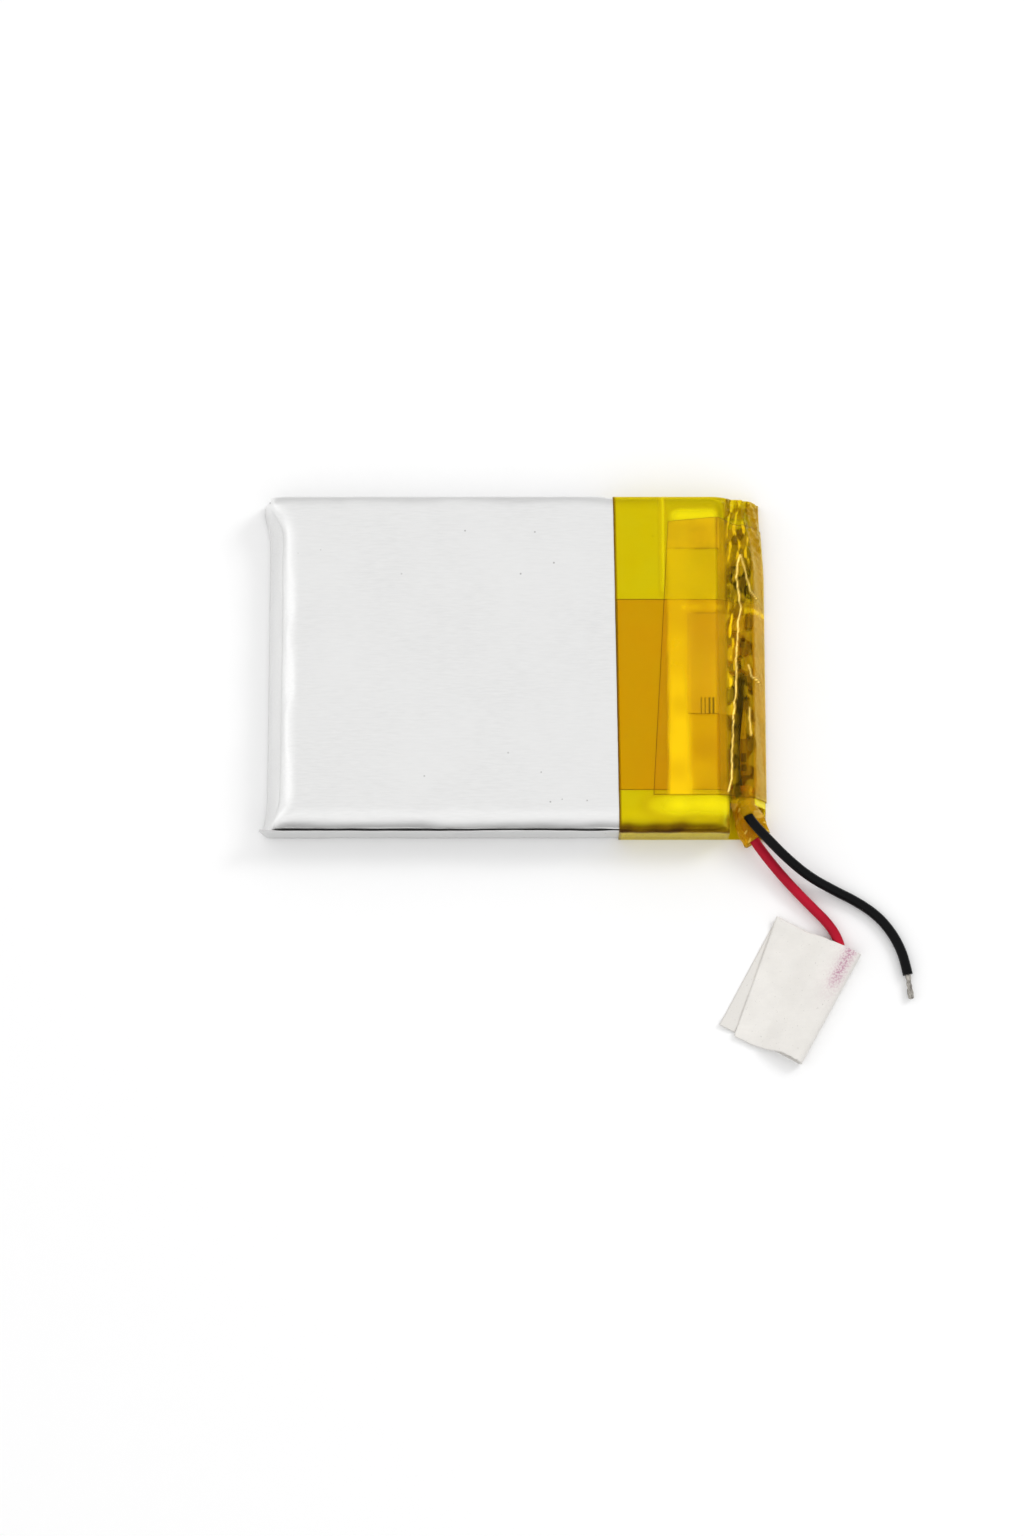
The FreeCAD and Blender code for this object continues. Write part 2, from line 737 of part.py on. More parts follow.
def make_everything():
    pieces = [make_pouch_cup(), make_pouch_cover()]
    pieces += make_roll()
    pieces += make_tabs()
    pieces += [make_seal_films(), make_insulation(), make_board()]
    pieces += make_nickel_pads()
    pieces += [make_chip("protection_chip", "chip_middle", "chip_length"),
               make_chip("mosfet_chip", "mosfet_middle", "mosfet_length"),
               make_chip_leads("protection_chip_leads", "chip_middle", 1.2),
               make_chip_leads("mosfet_leads", "mosfet_middle", 0.8)]
    pieces += make_small_parts()
    pieces += make_leads()
    pieces += [make_wrap_tape(), *make_tape_strips(), make_exit_tape(), make_flag()]
    return pieces


def write_parts(pieces):
    doc.recompute()
    for item in doc.Objects:
        if {"Invalid", "Error"} & set(item.State):
            raise RuntimeError(f"{item.Label} failed: {item.State}")
    os.makedirs("parts", exist_ok=True)
    for item in pieces:
        shape = item.Shape
        if shape.isNull() or not shape.isValid():
            raise RuntimeError(f"{item.Label} has no valid shape")
        shape.exportStep(f"parts/{item.Label}.step")
        box_size = shape.BoundBox
        print(f"{item.Label:26s} solids {len(shape.Solids)} volume {shape.Volume:9.3f}",
              f"x {box_size.XMin:7.2f} {box_size.XMax:7.2f} y {box_size.YMin:7.2f}",
              f"{box_size.YMax:7.2f} z {box_size.ZMin:6.3f} {box_size.ZMax:6.3f}")


fill_sheet()
write_parts(make_everything())
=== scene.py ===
"""A flat lithium pouch cell with its protection board, film tapes, leads and flag of paper tape."""

import math

import bmesh
import bpy
import numpy as np
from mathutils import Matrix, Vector


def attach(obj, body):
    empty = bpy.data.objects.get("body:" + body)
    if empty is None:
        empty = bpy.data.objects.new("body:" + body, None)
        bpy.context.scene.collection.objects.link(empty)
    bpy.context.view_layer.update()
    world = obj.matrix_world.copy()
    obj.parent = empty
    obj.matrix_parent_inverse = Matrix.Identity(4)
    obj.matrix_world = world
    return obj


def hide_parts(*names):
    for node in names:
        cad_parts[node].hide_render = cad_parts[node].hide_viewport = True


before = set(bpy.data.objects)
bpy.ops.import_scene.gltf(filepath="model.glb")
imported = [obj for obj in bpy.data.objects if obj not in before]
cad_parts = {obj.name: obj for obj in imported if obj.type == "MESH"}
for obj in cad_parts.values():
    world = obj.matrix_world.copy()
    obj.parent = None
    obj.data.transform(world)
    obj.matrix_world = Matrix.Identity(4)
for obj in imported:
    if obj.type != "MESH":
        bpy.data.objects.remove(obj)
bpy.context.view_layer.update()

bl_info = {
    "name": "Battery Pack",
    "version": (1, 0, 0),
    "blender": (4, 5, 0),
    "location": "View3D > Sidebar > Battery",
    "description": "Builds a flat pouch cell with its board, tapes and leads around a packed model",
    "category": "Add Mesh",
}

MM = 0.001
BODY = "root"

# The run of the film round the lead end, as (x, z) in mm: along the top, down over the
# board, round the nose and back underneath.
CANOPY = (
    (9.8, 4.8),
    (20.25, 4.8),
    (21.3, 4.3),
    (23.95, 3.05),
    (25.16, 0.62),
    (24.95, 0.12),
    (9.8, 0.12),
)
# How much wider the far half is than the near one, bare and under the wrap.
FAR_SPREAD = 1.042
TAPED_SPREAD = 1.015
# Spacing of the canopy's table and how far its corners are rounded, in mm.
CANOPY_STEP = 0.02
CANOPY_SOFTNESS = 0.13
# Arc lengths in mm where the films start down the slope and where they pass under the nose.
SLOPE_START = 10.45
NOSE_END = 17.62
# How far each film's outer face stands off the canopy, in mm, from the lowest to the top one.
WRAP_STANDOFF = 0.055
STRIP_STANDOFF = 0.115
BOARD_STANDOFF = 0.175
PATCH_STANDOFF = 0.235
# Free lengths of the leads in metres, with what the flag hides of the red one.
# How far the camera stands from the point it aims at, in metres.
CAMERA_DISTANCE = 0.4

# The creases that stand up over the board, each a line of (x, y) in mm.
MAIN_CREASE = (
    (22.75, 11.4),
    (22.3, 10.1),
    (22.35, 8.6),
    (22.5, 7.2),
    (22.72, 5.9),
    (22.42, 4.3),
    (22.25, 2.3),
    (22.08, -2.4),
    (21.85, -5.3),
    (21.64, -8.9),
    (21.6, -11.8),
    (21.2, -13.2),
)
SIDE_CREASES = (
    ((22.75, 11.4), (23.15, 10.0), (23.75, 7.7), (24.35, 7.1)),
    ((23.4, 0.0), (23.75, -1.1), (24.6, -1.5)),
    ((23.45, -4.4), (23.62, -7.2)),
)

# Control points of the two leads' curves, from the board outwards, as (x, y, z) in mm.
BLACK_ROUTE = (
    (22.6, -0.7, 2.65),
    (22.55, -3.0, 2.7),
    (22.25, -5.6, 2.75),
    (22.0, -8.2, 2.82),
    (22.05, -10.9, 2.8),
    (22.5, -13.4, 2.65),
    (23.25, -15.5, 2.95),
    (25.0, -17.45, 2.95),
    (27.2, -19.6, 2.35),
    (29.45, -21.3, 1.55),
    (31.85, -22.5, 0.87),
    (34.25, -23.65, 0.57),
    (36.25, -25.05, 0.52),
    (37.6, -26.7, 0.52),
    (38.45, -28.3, 0.52),
    (38.9, -29.75, 0.52),
    (39.15, -31.0, 0.52),
)
RED_ROUTE = (
    (21.85, -8.3, 1.75),
    (21.85, -10.1, 1.75),
    (22.0, -11.9, 1.6),
    (22.4, -13.8, 1.35),
    (23.0, -15.9, 1.3),
    (24.25, -18.0, 1.35),
    (25.85, -20.1, 1.15),
    (27.75, -22.25, 0.9),
    (29.7, -24.25, 0.72),
    (31.2, -25.75, 0.66),
    (32.2, -27.3, 0.66),
    (32.65, -29.1, 0.66),
    (32.45, -31.0, 0.66),
    (31.55, -32.65, 0.66),
)


def colour_setting(name, description, default):
    """A colour that the panel shows."""
    return bpy.props.FloatVectorProperty(
        name=name, description=description, default=default, subtype="COLOR", min=0.0, max=1.0
    )


class PouchSettings(bpy.types.PropertyGroup):
    """The look of the foil pouch."""

    foil: colour_setting(
        "Foil", "Colour that the aluminium foil mirrors", (0.835, 0.835, 0.83)
    )
    haze: bpy.props.FloatProperty(
        name="Foil Haze",
        description="Roughness of the foil's nylon skin",
        default=0.34,
        min=0.0,
        max=1.0,
        subtype="FACTOR",
    )
    waviness: bpy.props.FloatProperty(
        name="Waviness",
        description="Height of the shallow dents in the faces",
        default=0.05 * MM,
        min=0.0,
        unit="LENGTH",
    )
    edge_radius: bpy.props.FloatProperty(
        name="Edge Radius",
        description="Radius of the wide rounding between the face and the long sides",
        default=3.0 * MM,
        min=0.0,
        unit="LENGTH",
    )


class TapeSettings(bpy.types.PropertyGroup):
    """The look of the amber films."""

    wrap_tint: colour_setting(
        "Wrap Tint", "Light that one face of the wrapping film lets through", (0.957, 0.91, 0.2)
    )
    strip_tint: colour_setting(
        "Strip Tint", "Light that one face of the end strip lets through", (0.992, 0.893, 0.3)
    )
    board_tint: colour_setting(
        "Board Film Tint",
        "Light that one face of the film over the board lets through",
        (0.992, 0.968, 0.6),
    )
    film_body: colour_setting(
        "Film Body", "Colour of the haze inside the film", (0.68, 0.39, 0.002)
    )
    thickness: bpy.props.FloatProperty(
        name="Film Thickness",
        description="Thickness of each film with its glue",
        default=0.05 * MM,
        min=0.001 * MM,
        unit="LENGTH",
    )
    crease_height: bpy.props.FloatProperty(
        name="Crease Height",
        description="Height of the sharp fold that runs along the board",
        default=0.34 * MM,
        min=0.0,
        unit="LENGTH",
    )


class LeadSettings(bpy.types.PropertyGroup):
    """The look and size of the two leads."""

    diameter: bpy.props.FloatProperty(
        name="Lead Diameter",
        description="Outside diameter of the insulation",
        default=1.0 * MM,
        min=0.0003,
        unit="LENGTH",
    )
    black: colour_setting(
        "Black Insulation", "Colour of the negative lead", (0.0035, 0.0035, 0.004)
    )
    red: colour_setting(
        "Red Insulation", "Colour of the positive lead", (0.44, 0.007, 0.026)
    )


class FlagSettings(bpy.types.PropertyGroup):
    """The look of the folded paper tape."""

    paper: colour_setting(
        "Paper", "Colour of the creped paper", (0.80, 0.775, 0.735)
    )
    stain: colour_setting(
        "Stain", "Colour that shows where the red lead is under the paper", (0.50, 0.27, 0.36)
    )


class StageSettings(bpy.types.PropertyGroup):
    """The floor and the light."""

    floor: colour_setting(
        "Floor", "Colour of the floor", (0.955, 0.955, 0.955)
    )
    sky: bpy.props.FloatProperty(
        name="Sky",
        description="Strength of the white surroundings",
        default=0.96,
        min=0.0,
    )
    key: bpy.props.FloatProperty(
        name="Key Power",
        description="Power of the soft light from the upper right",
        default=0.95,
        min=0.0,
        unit="POWER",
    )


# ---------------------------------------------------------------- shapes in numbers


def smooth(value, low, high):
    """0 under low and 1 over high, with 3t^2 - 2t^3 between them."""
    t = np.clip((np.asarray(value, float) - low) / (high - low), 0.0, 1.0)
    return t * t * (3.0 - 2.0 * t)


def lattice(rows, columns):
    """Both values at every point of a grid of rows by columns."""
    return np.meshgrid(rows, columns, indexing="ij")


def bell(value, centre, width):
    """exp(-((value - centre) / width)^2)."""
    return np.exp(-(((value - centre) / width) ** 2))


def noise(x, y, cell, seed):
    """Value noise from 0 to 1: a random number on each corner of a square lattice of that cell,
    blended by 3t^2 - 2t^3 both ways."""
    table = np.random.default_rng(seed).random((64, 64))
    u = x / cell + 1000.0
    v = y / cell + 1000.0
    i = np.floor(u).astype(int)
    j = np.floor(v).astype(int)
    f = smooth(u - i, 0.0, 1.0)
    g = smooth(v - j, 0.0, 1.0)
    i0, i1, j0, j1 = i % 64, (i + 1) % 64, j % 64, (j + 1) % 64
    low = table[i0, j0] * (1 - f) + table[i1, j0] * f
    high = table[i0, j1] * (1 - f) + table[i1, j1] * f
    return low * (1 - g) + high * g


def facets(x, y, pitch, seed, folds=5):
    """Crumpled film, about 0 to 1: the mean of triangle waves that run in seeded directions,
    each with a seeded pitch, so flat patches meet at sharp folds."""
    random = np.random.default_rng(seed)
    total = 0.0
    for _ in range(folds):
        heading, shift, stretch = random.random(3)
        across = x * math.cos(heading * math.pi) + y * math.sin(heading * math.pi)
        phase = across / (pitch * (0.6 + stretch)) + shift
        total = total + np.abs(phase % 1.0 - 0.5) * 2.0
    return total / folds


def distance_to_line(x, y, line):
    """Shortest level distance from each (x, y) to a line of points."""
    nearest = np.full(np.shape(x), 1e9)
    for (ax, ay), (bx, by) in zip(line, line[1:]):
        dx, dy = bx - ax, by - ay
        along = ((x - ax) * dx + (y - ay) * dy) / (dx * dx + dy * dy)
        along = np.clip(along, 0.0, 1.0)
        gap = np.hypot(x - ax - along * dx, y - ay - along * dy)
        nearest = np.minimum(nearest, gap)
    return nearest


def canopy_table():
    """Arc length, x and z along CANOPY, whose corners are rounded by a running bell average."""
    points = np.array(CANOPY)
    lengths = np.hypot(*np.diff(points, axis=0).T)
    corners = np.concatenate([[0.0], np.cumsum(lengths)])
    s = np.arange(0.0, corners[-1], CANOPY_STEP)
    reach = int(4 * CANOPY_SOFTNESS / CANOPY_STEP)
    weights = bell(np.arange(-reach, reach + 1) * CANOPY_STEP, 0.0, CANOPY_SOFTNESS * 1.4)
    weights /= weights.sum()
    columns = [s]
    for axis in (0, 1):
        sharp = np.interp(s, corners, points[:, axis])
        padded = np.concatenate(
            [
                2 * sharp[0] - sharp[reach:0:-1],
                sharp,
                2 * sharp[-1] - sharp[-2 : -reach - 2 : -1],
            ]
        )
        columns.append(np.convolve(padded, weights, "valid"))
    return columns


CANOPY_S, CANOPY_X, CANOPY_Z = canopy_table()


def canopy(s, offset):
    """Point and outward direction at arc length s of the canopy, moved out by offset."""
    x = np.interp(s, CANOPY_S, CANOPY_X)
    z = np.interp(s, CANOPY_S, CANOPY_Z)
    dx = np.interp(s, CANOPY_S, np.gradient(CANOPY_X, CANOPY_STEP))
    dz = np.interp(s, CANOPY_S, np.gradient(CANOPY_Z, CANOPY_STEP))
    size = np.hypot(dx, dz)
    nx, nz = -dz / size, dx / size
    return x + nx * offset, z + nz * offset, nx, nz


def crease_depth(x, y):
    """How much of a sharp crease is at each point, 0 to 1: a narrow bell of the distance to the
    nearest crease line, which is shaken sideways by fine noise."""
    shaken = x + 0.16 * (noise(x * 0.2, y, 0.5, 11) - 0.5)
    main = bell(distance_to_line(shaken, y, MAIN_CREASE), 0.0, 0.075)
    for line in SIDE_CREASES:
        main = np.maximum(main, 0.75 * bell(distance_to_line(shaken, y, line), 0.0, 0.09))
    return main


def film_relief(s, y, x):
    """Height of the film's crumples over the canopy, in mm: broad facets over the board, more at
    the far corner, with the sharp creases on top of them."""
    over_board = smooth(s, 10.9, 11.8) * (1.0 - smooth(s, 16.3, 17.4))
    corner = smooth(y, 10.5, 13.0)
    left_valley = bell(x, 21.75, 0.45) * smooth(y, -13.5, -11.0)
    rough = facets(x * 1.3, y * 0.55, 1.5, 3, 4) - 0.5
    fine = facets(x * 1.1, y * 0.7, 0.55, 8, 5) - 0.5
    relief = rough * (0.16 + 0.5 * corner) + fine * (0.05 + 0.3 * corner)
    relief = relief - 0.22 * left_valley + 0.22 * left_valley * facets(x, y * 0.5, 0.8, 21, 3)
    ridge = crease_depth(x, y) * (settings("tapes").crease_height / MM)
    near_line = smooth(-distance_to_line(x, y, MAIN_CREASE), -0.9, 0.0)
    skirt = near_line * 0.14
    return over_board * (relief + ridge + skirt)


def settings(name):
    """The settings of one group of pieces."""
    return getattr(bpy.context.scene.battery_pack, name)


# ---------------------------------------------------------------- meshes


def grid_faces(rows, columns, wrap=False):
    """Faces of a grid of rows by columns of points; wrap joins the last column to the first."""
    index = np.arange(rows * columns).reshape(rows, columns)
    if wrap:
        index = np.concatenate([index, index[:, :1]], axis=1)
    corners = [index[:-1, :-1], index[1:, :-1], index[1:, 1:], index[:-1, 1:]]
    return np.stack([c.ravel() for c in corners], axis=1)


def surface(name, points, wrap=False, drop=None, marks=None, thickness=0.0):
    """Makes a piece from a grid of points in mm, rows x columns x 3.
    wrap closes the columns into a tube, drop is true for the faces to leave out, by their centres,
    and marks are point attributes by name. Doubled points are merged and faces turned outwards
    before a film gets its thickness inwards."""
    rows, columns = points.shape[:2]
    flat = points.reshape(-1, 3)
    faces = grid_faces(rows, columns, wrap)
    if drop is not None:
        faces = faces[~drop(flat[faces].mean(axis=1))]
    mesh = bpy.data.meshes.new(name)
    mesh.from_pydata((flat * MM).tolist(), [], faces.tolist())
    for mark, values in (marks or {}).items():
        layer = mesh.attributes.new(mark, "FLOAT", "POINT")
        layer.data.foreach_set("value", np.broadcast_to(values, (rows, columns)).ravel())
    work = bmesh.new()
    work.from_mesh(mesh)
    loose = [v for v in work.verts if not v.link_faces]
    bmesh.ops.delete(work, geom=loose, context="VERTS")
    bmesh.ops.remove_doubles(work, verts=work.verts, dist=0.002 * MM)
    bmesh.ops.recalc_face_normals(work, faces=work.faces)
    work.to_mesh(mesh)
    work.free()
    mesh.shade_smooth()
    piece = bpy.data.objects.new(name, mesh)
    bpy.context.scene.collection.objects.link(piece)
    if thickness:
        solid = piece.modifiers.new("Thickness", "SOLIDIFY")
        solid.thickness = thickness * MM
        solid.offset = -1.0
        solid.use_even_offset = False
    return piece


def film(name, points, marks, thickness, drop=None):
    """A strip of film with its outer face up."""
    piece = surface(name, points, drop=drop, marks=marks, thickness=thickness)
    middle = piece.data.polygons[len(piece.data.polygons) // 8]
    if middle.normal.z < 0:
        piece.data.flip_normals()
    return piece


def finish_piece(piece, finish, slot, *nodes):
    """Gives a piece its material and says which body and CAD nodes it goes with. slot is not used."""
    piece.data.materials.append(finish)
    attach(piece, BODY)
    if nodes:
        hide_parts(*nodes)
    return piece


# ---------------------------------------------------------------- materials


class Finish:
    """A material made of nodes. add() makes a node, sets its options and feeds its inputs."""

    def __init__(self, name):
        self.material = bpy.data.materials.new(name)
        self.material.use_nodes = True
        self.tree = self.material.node_tree
        self.tree.nodes.clear()

    def add(self, kind, inputs, output=0, **options):
        node = self.tree.nodes.new(kind)
        for option, value in options.items():
            setattr(node, option, value)
        for key, value in inputs.items():
            if isinstance(value, bpy.types.NodeSocket):
                self.tree.links.new(value, node.inputs[key])
            else:
                node.inputs[key].default_value = value
        return node.outputs[output] if len(node.outputs) else None

    def place(self, scale):
        """Object coordinates, stretched by scale, which is one number or one for each axis."""
        scale = scale if isinstance(scale, tuple) else (scale,) * 3
        where = self.add("ShaderNodeTexCoord", {}, "Object")
        return self.add("ShaderNodeMapping", {"Vector": where, "Scale": scale})

    def grain(self, scale, detail, rough):
        """Noise from 0 to 1 on object coordinates."""
        inputs = {
            "Vector": self.place(scale),
            "Scale": 1.0,
            "Detail": detail,
            "Roughness": rough,
        }
        return self.add("ShaderNodeTexNoise", inputs)

    def span(self, value, low, high, to_low, to_high, smooth_step=False):
        """Maps a value from one range to another."""
        inputs = {
            "Value": value,
            "From Min": low,
            "From Max": high,
            "To Min": to_low,
            "To Max": to_high,
        }
        kind = "SMOOTHSTEP" if smooth_step else "LINEAR"
        return self.add("ShaderNodeMapRange", inputs, interpolation_type=kind)

    def mix(self, factor, a, b):
        """Mixes two colours."""
        inputs = {0: factor, 6: rgba(a), 7: rgba(b)}
        return self.add("ShaderNodeMix", inputs, 2, data_type="RGBA")

    def mark(self, name):
        """A point attribute of the piece."""
        return self.add("ShaderNodeAttribute", {}, "Fac", attribute_name=name)

    def maths(self, operation, a, b=0.5):
        """One sum."""
        return self.add("ShaderNodeMath", {0: a, 1: b}, operation=operation)

    def times(self, a, b):
        """One product."""
        return self.maths("MULTIPLY", a, b)

    def rise(self, value, low, high):
        """0 at low and 1 at high, with a soft start and end."""
        return self.span(value, low, high, 0.0, 1.0, True)

    def bump(self, height, strength, depth_mm):
        """A bumped normal."""
        inputs = {"Height": height, "Strength": strength, "Distance": depth_mm * MM}
        return self.add("ShaderNodeBump", inputs)

    def out(self, shader):
        """Sends a shader to the material's output."""
        self.add("ShaderNodeOutputMaterial", {"Surface": shader})
        return self.material


def rgba(colour):
    """A colour with its alpha, or a socket as it is."""
    if isinstance(colour, bpy.types.NodeSocket):
        return colour
    return (*colour[:3], 1.0)


def scaled(colour, factor):
    """A colour made lighter or darker."""
    return tuple(min(1.0, c * factor) for c in colour)


def foil_finish(name, colour, roughness):
    """Aluminium laminate: soft mirror with fine rolling grain along x, faint clouds, tiny pits
    and a few dust specks."""
    f = Finish(name)
    grain = f.grain((700, 5200, 5200), 3.0, 0.65)
    clouds = f.grain(150, 4.0, 0.6)
    pits = f.grain(2600, 2.0, 0.5)
    specks = f.add(
        "ShaderNodeTexVoronoi", {"Vector": f.place(520), "Scale": 1.0}, "Distance"
    )
    chance = f.grain(70, 1.0, 0.5)
    dust = f.maths(
        "MULTIPLY",
        f.span(specks, 0.065, 0.03, 0.0, 1.0),
        f.span(chance, 0.53, 0.56, 0.0, 1.0),
    )
    tone = f.mix(f.span(grain, 0.3, 0.7, 0.0, 1.0), scaled(colour, 0.955), scaled(colour, 1.03))
    tone = f.mix(f.span(clouds, 0.35, 0.65, 0.0, 0.6), tone, scaled(colour, 1.035))
    tone = f.mix(f.times(dust, 0.55), tone, (0.16, 0.15, 0.14))
    rough = f.span(clouds, 0.3, 0.7, roughness - 0.03, roughness + 0.04)
    height = f.maths("ADD", f.times(grain, 0.7), f.times(pits, 0.3))
    inputs = {
        "Base Color": tone,
        "Metallic": 1.0,
        "Roughness": rough,
        "Normal": f.bump(height, 0.32, 0.014),
    }
    return f.out(f.add("ShaderNodeBsdfPrincipled", inputs))


def film_finish(name, tint, body, painted_light):
    """Amber film: it lets tinted light through, with a haze of its own colour where its haze mark
    says, painted light where its tone mark is high (mixed to the painted-light colour and glowing
    by emission, though the film is no lamp), painted highlights along its creases, a dark line
    along its cut edges with painted shade where the edge mark also carries it, and a glossy skin."""
    f = Finish(name)
    smear = f.grain(350, 4.0, 0.6)
    fibre = f.grain((900, 2600, 900), 2.0, 0.5)
    edge = f.mark("edge")
    crease = f.mark("crease")
    tone = f.mark("tone")
    deep = tuple(c**1.25 for c in tint)
    shade = f.mix(f.span(smear, 0.35, 0.7, 0.0, 0.5), tint, deep)
    # The edge mark darkens the light let through: a dark line at cut edges, and painted shade where
    # the mark carries it.
    shade = f.mix(edge, shade, (0.42, 0.3, 0.1))
    through = f.add("ShaderNodeBsdfTransparent", {"Color": shade})
    colour = f.mix(f.span(smear, 0.35, 0.65, 0.0, 1.0), scaled(body, 0.85), scaled(body, 1.15))
    # Painted light: the tone mark mixes the colour to the painted-light colour.
    colour = f.mix(tone, colour, painted_light)
    # The edge mark mixes in dark brown: cut-edge lines, and painted shade along the near rounding and
    # over the board.
    colour = f.mix(edge, colour, (0.12, 0.05, 0.006))
    # Painted highlight: pale yellow along the creases.
    colour = f.mix(crease, colour, (1.0, 0.84, 0.3))
    # The painted light and the painted crease highlights also glow by emission, though the film is no
    # lamp.
    painted_glow_emission = f.mix(tone, (0.0, 0.0, 0.0), scaled(painted_light, 0.42))
    painted_glow_emission = f.mix(crease, painted_glow_emission, (1.0, 0.72, 0.14))
    normal = f.bump(fibre, 0.1, 0.01)
    matter = f.add(
        "ShaderNodeBsdfPrincipled",
        {
            "Base Color": colour,
            "Roughness": 0.38,
            "Specular IOR Level": 0.05,
            "Emission Color": painted_glow_emission,
            "Emission Strength": 0.4,
            "Normal": normal,
        },
    )
    cover = f.maths("ADD", f.mark("haze"), f.times(crease, 0.85))
    cover = f.maths("ADD", cover, f.times(edge, 0.42))
    cover = f.maths("MINIMUM", cover, 0.97)
    sheet = f.add("ShaderNodeMixShader", {0: cover, 1: through, 2: matter})
    facing = f.add("ShaderNodeLayerWeight", {"Blend": 0.5}, "Facing")
    gloss = f.span(f.maths("POWER", facing, 4.0), 0.0, 1.0, 0.006, 0.6)
    skin = f.add(
        "ShaderNodeBsdfGlossy",
        {"Color": (1.0, 0.93, 0.5, 1.0), "Roughness": 0.07, "Normal": normal},
    )
    return f.out(f.add("ShaderNodeMixShader", {0: gloss, 1: sheet, 2: skin}))


def plastic_finish(name, colour, roughness):
    """Soft extruded plastic: faint drawing lines and scuffs on a coloured gloss."""
    f = Finish(name)
    scuff = f.grain(1800, 4.0, 0.6)
    slow = f.grain(300, 2.0, 0.5)
    tone = f.mix(f.span(slow, 0.3, 0.7, 0.0, 1.0), scaled(colour, 0.86), scaled(colour, 1.14))
    inputs = {
        "Base Color": tone,
        "Roughness": f.span(scuff, 0.3, 0.7, roughness - 0.07, roughness + 0.1),
        "Specular IOR Level": 0.09,
        "Normal": f.bump(scuff, 0.12, 0.01),
    }
    return f.out(f.add("ShaderNodeBsdfPrincipled", inputs))


def plain_finish(name, low, high, grain, roughness, metallic=0.0, relief=0.15):
    """A fine-grained solid: two close tones in a grain of that many per metre, with bump and
    roughness from the same grain."""
    f = Finish(name)
    cells = f.grain(grain, 4.0, 0.6)
    inputs = {
        "Base Color": f.mix(f.span(cells, 0.3, 0.7, 0.0, 1.0), low, high),
        "Metallic": metallic,
        "Roughness": f.span(cells, 0.25, 0.75, roughness - 0.06, roughness + 0.08),
        "Normal": f.bump(cells, relief, 0.01),
    }
    return f.out(f.add("ShaderNodeBsdfPrincipled", inputs))


def paper_finish(name, paper, stain):
    """Creped paper tape: close ridges across the tape, cloudy glue, grey specks, and a speckled
    pink stain where its stain mark says."""
    f = Finish(name)
    crepe = f.grain((1100, 3600, 1100), 3.0, 0.6)
    clouds = f.grain(330, 4.0, 0.6)
    dots = f.grain(5200, 2.0, 0.5)
    layer = f.mark("layer")
    # The layer mark makes the upper layer lighter than the lower one, in streaks that are painted
    # shading of the crepe folds.
    tone = f.mix(layer, scaled(paper, 0.93), scaled(paper, 1.05))
    tone = f.mix(f.span(clouds, 0.35, 0.65, 0.0, 0.7), tone, scaled(paper, 0.93))
    tone = f.mix(f.span(crepe, 0.35, 0.65, 0.12, 0.0), tone, scaled(paper, 0.84))
    tone = f.mix(f.span(dots, 0.69, 0.73, 0.0, 0.35), tone, (0.3, 0.28, 0.27))
    spots = f.span(dots, 0.38, 0.6, 1.0, 0.3)
    tone = f.mix(f.times(f.mark("stain"), spots), tone, stain)
    inputs = {
        "Base Color": tone,
        "Roughness": f.span(crepe, 0.3, 0.7, 0.5, 0.68),
        "Normal": f.bump(crepe, 0.3, 0.03),
    }
    return f.out(f.add("ShaderNodeBsdfPrincipled", inputs))


# ---------------------------------------------------------------- stage


class BATTERY_OT_stage(bpy.types.Operator):
    """Sets up the camera, the pale floor and the soft light."""

    bl_idname = "battery.stage"
    bl_label = "Stage"

    def execute(self, context):
        choice = settings("stage")
        set_camera(context.scene)
        set_floor(context.scene, choice.floor)
        set_sky(context.scene, choice.sky)
        set_lamp(context.scene, "key", (0.42, 0.27, 0.4), 0.2, choice.key)
        context.scene.view_settings.view_transform = "Standard"
        context.scene.cycles.transparent_max_bounces = 40
        return {"FINISHED"}


def set_camera(scene):
    """A camera 0.4 m off, tilted 12 degrees from straight above towards the near side."""
    tilt = math.radians(12.0)
    aim = Vector((-0.35 * MM, -9.8 * MM, 0.0))
    back = Vector((0.0, -math.sin(tilt), math.cos(tilt)))
    camera = bpy.data.objects.new("camera", bpy.data.cameras.new("camera"))
    camera.data.lens = 92.8
    camera.data.sensor_width = 36.0
    camera.data.clip_start = 0.01
    camera.location = aim + back * CAMERA_DISTANCE
    camera.rotation_euler = (tilt, 0.0, 0.0)
    scene.collection.objects.link(camera)
    scene.camera = camera


def set_floor(scene, colour):
    """A plain pale floor with a very faint grain."""
    mesh = bpy.data.meshes.new("floor")
    side = 2.5
    corners = [(-side, -side, 0), (side, -side, 0), (side, side, 0), (-side, side, 0)]
    mesh.from_pydata(corners, [], [(0, 1, 2, 3)])
    floor = bpy.data.objects.new("floor", mesh)
    scene.collection.objects.link(floor)
    f = Finish("floor_paper")
    fibres = f.grain(400, 3.0, 0.5)
    tone = f.mix(fibres, scaled(colour, 0.995), scaled(colour, 1.005))
    mesh.materials.append(
        f.out(f.add("ShaderNodeBsdfPrincipled", {"Base Color": tone, "Roughness": 0.9}))
    )


